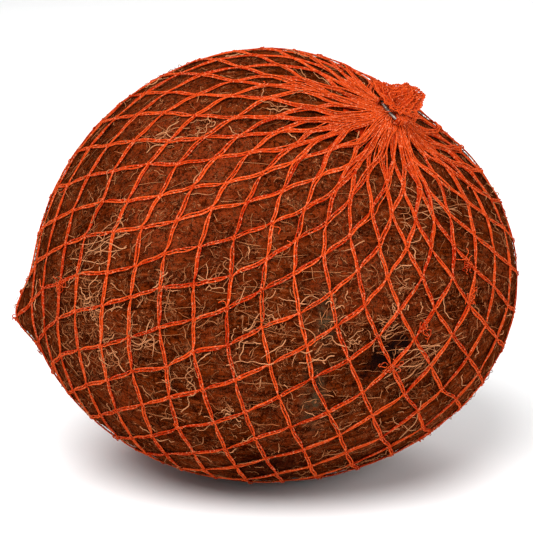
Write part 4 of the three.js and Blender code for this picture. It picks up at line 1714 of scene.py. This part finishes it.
    def _loose_ends(self, joints: int = 16) -> list[Thread]:
        """Thin threads that lie loose over the gather."""
        threads = []
        share = np.linspace(0, 1, joints)
        for end in self.loose_ends:
            given = np.array(end)
            places = np.linspace(0, 1, len(given))
            local = np.stack([np.interp(share, places, given[:, i]) for i in range(3)], -1)
            local[1:-1] = (local[:-2] + local[1:-1] + local[2:]) / 3
            points = local[:, :1] * self.crownwise + local[:, 1:2] * self.across
            points = points + (self.waist + local[:, 2:]) * self.axis
            threads.append(Thread(points, self.net.binder_radius, 1.0))
        return threads

    def _frill_threads(self) -> list[Thread]:
        """The frill's fine mesh: zigzags round it, and radial threads between them."""
        threads = []
        for layer, phase, zigs in self.layers:
            threads += [self._zigzag(share, layer, phase, zigs) for share in self.rings]
            spokes = 2 * zigs
            threads += [self._spoke(number, spokes, layer, phase) for number in range(spokes)]
        return threads

    def _zigzag(self, share: float, layer: float, phase: float, zigs: int) -> Thread:
        """A thread round a layer, which is thicker and straighter at the rim."""
        at_rim = share == 1
        count = 4 * zigs
        angle = np.arange(count) / count * FULL_TURN
        zig = (0.035 if at_rim else 0.08) * np.sin(zigs * angle + 9 * share)
        jitter = smooth_noise(self.rng, count, 20)
        strayed = np.clip(share + zig + 0.02 * jitter, 0.2, 1.04)
        points = self.frill_point(angle + 0.05 * jitter, strayed, layer, phase)
        radius = self.strand_radius * (1.0 if at_rim else 0.6)
        return Thread(points, radius, 1.0 if at_rim else 0.5, closed=True)

    def _spoke(self, number: int, spokes: int, layer: float, phase: float, joints: int = 7) -> Thread:
        """A thread from inside a layer out to its rim."""
        angle = FULL_TURN * (number + self.rng.uniform(-0.3, 0.3)) / spokes
        bent = angle + smooth_noise(self.rng, joints, 2) * 0.06
        points = self.frill_point(bent, np.linspace(0.2, 1.0, joints), layer, phase)
        return Thread(points, self.strand_radius * 0.75, self.rng.uniform(0, 0.7))

    def _crushed(self) -> Piece:
        """Crushed net that closes the neck, the waist and the inside of the frill."""
        sides = self.skirt_sides
        angles = np.arange(sides) / sides * FULL_TURN
        rings = self._crushed_rings(angles)
        points = np.concatenate(rings)
        points[:, 2] = np.maximum(points[:, 2], FLOOR_Z + 0.05)
        number = np.arange(len(points)).reshape(-1, sides)
        beside = np.roll(number, -1, axis=1)
        quads = np.stack([number[:-1], beside[:-1], beside[1:], number[1:]], -1).reshape(-1, 4)
        faces = [*quads.tolist(), number[0, ::-1].tolist(), number[-1].tolist()]
        piece = mesh_object(f"{self.name}_crushed", points, faces)
        level = np.repeat(np.arange(len(rings)), sides)
        way = np.tile(angles, len(rings))
        set_attribute(piece.data, "lay", np.stack([7 * np.cos(way), 7 * np.sin(way), 0.16 * level], -1))
        piece.data.materials.append(CrushedNetFinish(f"{self.name}_crushed_finish").material())
        piece.data.polygons.foreach_set("use_smooth", [True] * len(faces))
        return piece

    def _crushed_rings(self, angles: Array) -> list[Array]:
        """The crushed net's rings, from its ragged edge up into the frill and back."""
        edge = self.skirt_raggedness * np.sin(angles * 5 + 1) * np.sin(angles * 17) + self.skirt_edge
        for way, _ in self.full_sides:
            edge = edge + self.full_skirt * self._fullness(self.outwards(angles), way)
        reach = edge - self.skirt_start
        rings = [self._skirt_ring(angles, self.skirt_start + reach * s) for s in np.linspace(1.0, 0.0, 7)]
        waist = self.waist_reach(angles) * 0.92
        rings += [self.waist_points(waist[:, None], angles, height) for height in (-0.6, 0.0, 0.6)]
        for shares, layer, phase in (((0.3, 0.5, 0.7, 0.86), 0.94, 0.0), ((0.84, 0.6, 0.4, 0.2), 0.62, 1.0)):
            rings += [self.frill_point(angles, np.full(len(angles), s), layer, phase) for s in shares]
        return rings

    def _skirt_ring(self, angles: Array, distances: Array) -> Array:
        """A ring under the drawn net, at a distance from the neck for each angle."""
        ring = []
        for angle, distance in zip(angles, distances):
            line = self.drape.line(self.outwards(angle), steps=40)
            ring.append(line.in_space(line.at(distance if self.is_top else line.total - distance)))
        most = self.skirt_most + self.neck_most * np.maximum(0, 1 - distances / self.neck_fade) ** 2
        return self.drape.form.held(np.array(ring), self.skirt_least, most) - self.axis * 0.1


@dataclass
class Clip:
    """A bent wire that closes a gather."""

    name: str
    gather: Gather
    wire: float = 0.68  # its diameter
    clearance: float = 0.36  # from the waist to the wire
    mouth: float = 24.0  # half the gap between the legs, in degrees
    corner: float = 0.6  # 1 for an ellipse, and less for a squarer loop
    joints: int = 60

    def build(self) -> Piece:
        """Makes the wire, which stands for the CAD node."""
        angle = np.radians(np.linspace(90 + self.mouth, 450 - self.mouth, self.joints))
        slack = self.clearance + self.wire / 2
        squared = [np.sign(f(angle)) * np.abs(f(angle)) ** self.corner for f in (np.cos, np.sin)]
        gather = self.gather
        points = (
            gather.axis * gather.waist
            + gather.crownwise * (gather.waist_crownwise + slack) * squared[0][:, None]
            + gather.across * (gather.waist_across + slack) * squared[1][:, None]
        )
        tree = ThreadTree(sides=14, waver=0.03, pitch=4.0, seed=1)
        clip = tree.lay(f"{self.name}_wire", [Thread(points, self.wire / 2, 0.5)], WireFinish().material())
        declare([clip], self.name)
        return clip


# ---- The studio ----


@dataclass
class Studio:
    """Table, soft lights and camera."""

    azimuth: float = -8.0
    elevation: float = 15.0
    distance: float = 0.6
    target: Triple = (-4.244, 0.0, 3.069)  # in millimetres from the nut's centre
    view_width: float = 0.1278  # across the picture, at the target
    sensor: float = 36.0
    daylight: float = 0.42
    lamps: tuple[tuple[str, Triple, float, float], ...] = (  # name, place, size and power
        ("key", (-0.30, -0.50, 0.80), 0.75, 13.0),  # from the upper left
        ("fill", (0.6, -0.45, 0.35), 0.6, 2.5),
        ("rim", (0.2, 0.6, 0.55), 0.5, 2.4),  # from behind
    )

    def build(self) -> None:
        """Sets the whole studio up."""
        self._table()
        self._lights()
        self._camera()

    def _camera(self) -> None:
        """Places the camera and makes it the scene's."""
        a, e = math.radians(self.azimuth), math.radians(self.elevation)
        back = np.array((math.sin(a) * math.cos(e), -math.cos(a) * math.cos(e), math.sin(e)))
        data = bpy.data.cameras.new("camera")
        data.sensor_width = self.sensor
        data.lens = self.sensor * self.distance / self.view_width
        camera = in_scene("camera", data)
        camera.location = in_frame(self.target) + back * self.distance
        camera.rotation_euler = (math.pi / 2 - e, 0.0, a)
        bpy.context.scene.camera = camera

    def _table(self) -> None:
        """The floor."""
        bpy.ops.mesh.primitive_circle_add(vertices=96, radius=3.0, fill_type="NGON")
        table = bpy.context.object
        table.name = "table"
        table.data.materials.append(TableFinish().material())

    def _lights(self) -> None:
        """The soft lamps and an even daylight."""
        for lamp in self.lamps:
            self._light(*lamp)
        world = bpy.data.worlds.new("studio")
        world.use_nodes = True
        sky = world.node_tree.nodes["Background"].inputs
        sky["Color"].default_value = (1.0, 1.0, 1.0, 1.0)
        sky["Strength"].default_value = self.daylight
        bpy.context.scene.world = world
        bpy.context.scene.view_settings.view_transform = "Standard"

    @staticmethod
    def _light(name: str, place: Triple, size: float, power: float) -> None:
        """An area light that faces the nut's middle."""
        data = bpy.data.lights.new(name, "AREA")
        data.shape = "DISK"
        data.size = size
        data.energy = power
        light = in_scene(name, data)
        light.location = place
        back = unit(np.array(place) - NUT_MIDDLE)
        light.rotation_euler = (math.acos(back[2]), 0.0, math.atan2(back[0], -back[1]))


# ---- The whole object ----


def hair_kinds() -> list[Hairs]:
    """The kinds of loose hair, from long curls to the short fuzz between them."""
    pale = FibreFinish("pale_hair_finish")
    brown = FibreFinish("brown_hair_finish", pale=(0.40, 0.145, 0.055), brown=(0.14, 0.034, 0.010))
    curled = Hairs(
        "curled_hairs", pale, 11, 20, count_per_cm2=4.6, shortest=2.5, longest=8.0, thickness=0.135,
        lift=0.9, curl=32.0, waves=3.8, spread=math.pi,
    )
    short = Hairs(
        "short_hairs", brown, 23, 8, count_per_cm2=27.0, shortest=1.5, longest=4.5, thickness=0.095,
        lift=0.7, curl=24.0, waves=2.6, spread=math.pi,
    )
    straight = Hairs(
        "straight_hairs", brown, 37, 9, count_per_cm2=3.0, shortest=5.0, longest=13.0, thickness=0.085,
        lift=0.35, curl=4.0, waves=1.6, spread=0.25,
    )
    return [curled, short, straight]


def gathers(net: Net) -> list[Gather]:
    """The net's two gathered ends."""
    top = Gather(
        "top_gather", net, AXIS, crown=(0.46, -0.68, -0.56), neck=net.drape.neck_above, lean=0.0,
        reach=2.8, rise=1.7, ruffles=9, ruffle_depth=0.3, seed=41,
        lobes=(Lobe(90.0, 50.0, 3.4, 3.0), Lobe(150.0, 35.0, 0.5, 2.2), Lobe(205.0, 28.0, 4.2, 1.2)),
        loose_ends=(
            ((-2.0, -2.5, 0.5), (-1.7, -1.4, 1.9), (-1.2, 0.0, 3.4), (-0.6, 1.6, 4.6), (-0.2, 3.0, 5.2)),
            ((-0.3, -2.6, -0.5), (0.4, -2.5, 0.3), (1.2, -2.0, 1.3)),
            ((-1.6, -5.2, -1.6), (-0.6, -5.2, -1.9), (0.2, -5.3, -2.6)),
        ),
        full_sides=(
            ((0.80, 0.60, 0.0), (2.0, 3.0, 4.0, 3.5)),
            ((-0.85, -0.30, 0.4), (4.0, 3.0, 1.0, 0.0)),
        ),
    )
    bottom = Gather(
        "bottom_gather", net, -AXIS, crown=(1.0, 0.6, 0.0), neck=net.drape.neck_below, lean=2.4,
        reach=3.4, rise=2.4, ruffles=7, ruffle_depth=0.4, seed=43, extra_strands=(2.6, 1.2, 0.5),
    )
    return [top, bottom]


def laid_flat(drape: Drape, ends: Sequence[Gather]) -> tuple[float, float]:
    """The size of the net laid flat, with its meshes as open as on the nut.

    Args:
        drape: How the net lies on the nut.
        ends: Its two gathers.

    Returns:
        Half of its girth and its mean length from rim to rim, in metres.
    """
    sides = drape.side_at(np.linspace(0, FULL_TURN, 72, endpoint=False))
    ring = sides * drape.form.radius(sides)[:, None]
    girth = np.linalg.norm(ring - np.roll(ring, 1, axis=0), axis=1).sum()
    frills = sum(end.waist_height + math.hypot(end.reach, end.rise) for end in ends)
    length = np.mean([drape.line(side).total for side in sides]) + frills
    return round(float(girth) / 2 * MM, 3), round(float(length) * MM, 3)


def report(pieces: Sequence[Piece]) -> None:
    """Logs how many triangles each piece has."""
    for piece in pieces:
        piece.data.calc_loop_triangles()
        log.info("%s: %d triangles", piece.name, len(piece.data.loop_triangles))


def main() -> None:
    """Builds the dressed coconut, piece by piece."""
    logging.basicConfig(level=logging.INFO, format="%(name)s %(message)s")
    Studio().build()
    coconut = Coconut()
    body = coconut.build()
    report([body])
    for kind in hair_kinds():
        report([kind.grow(body)])
    report([Wisps(coconut.form).build()])
    net = Net(Drape(coconut.form))
    yarns = net.build()
    report(yarns)
    both = gathers(net)
    drawn: list[Piece] = []
    for gather, clip in zip(both, ("top_clip", "bottom_clip")):
        drawn += gather.build()
        report([Clip(clip, gather).build()])
    report(drawn)
    laid_flat(net.drape, both)
    net.covered_area()


if __name__ == "__main__":
    main()
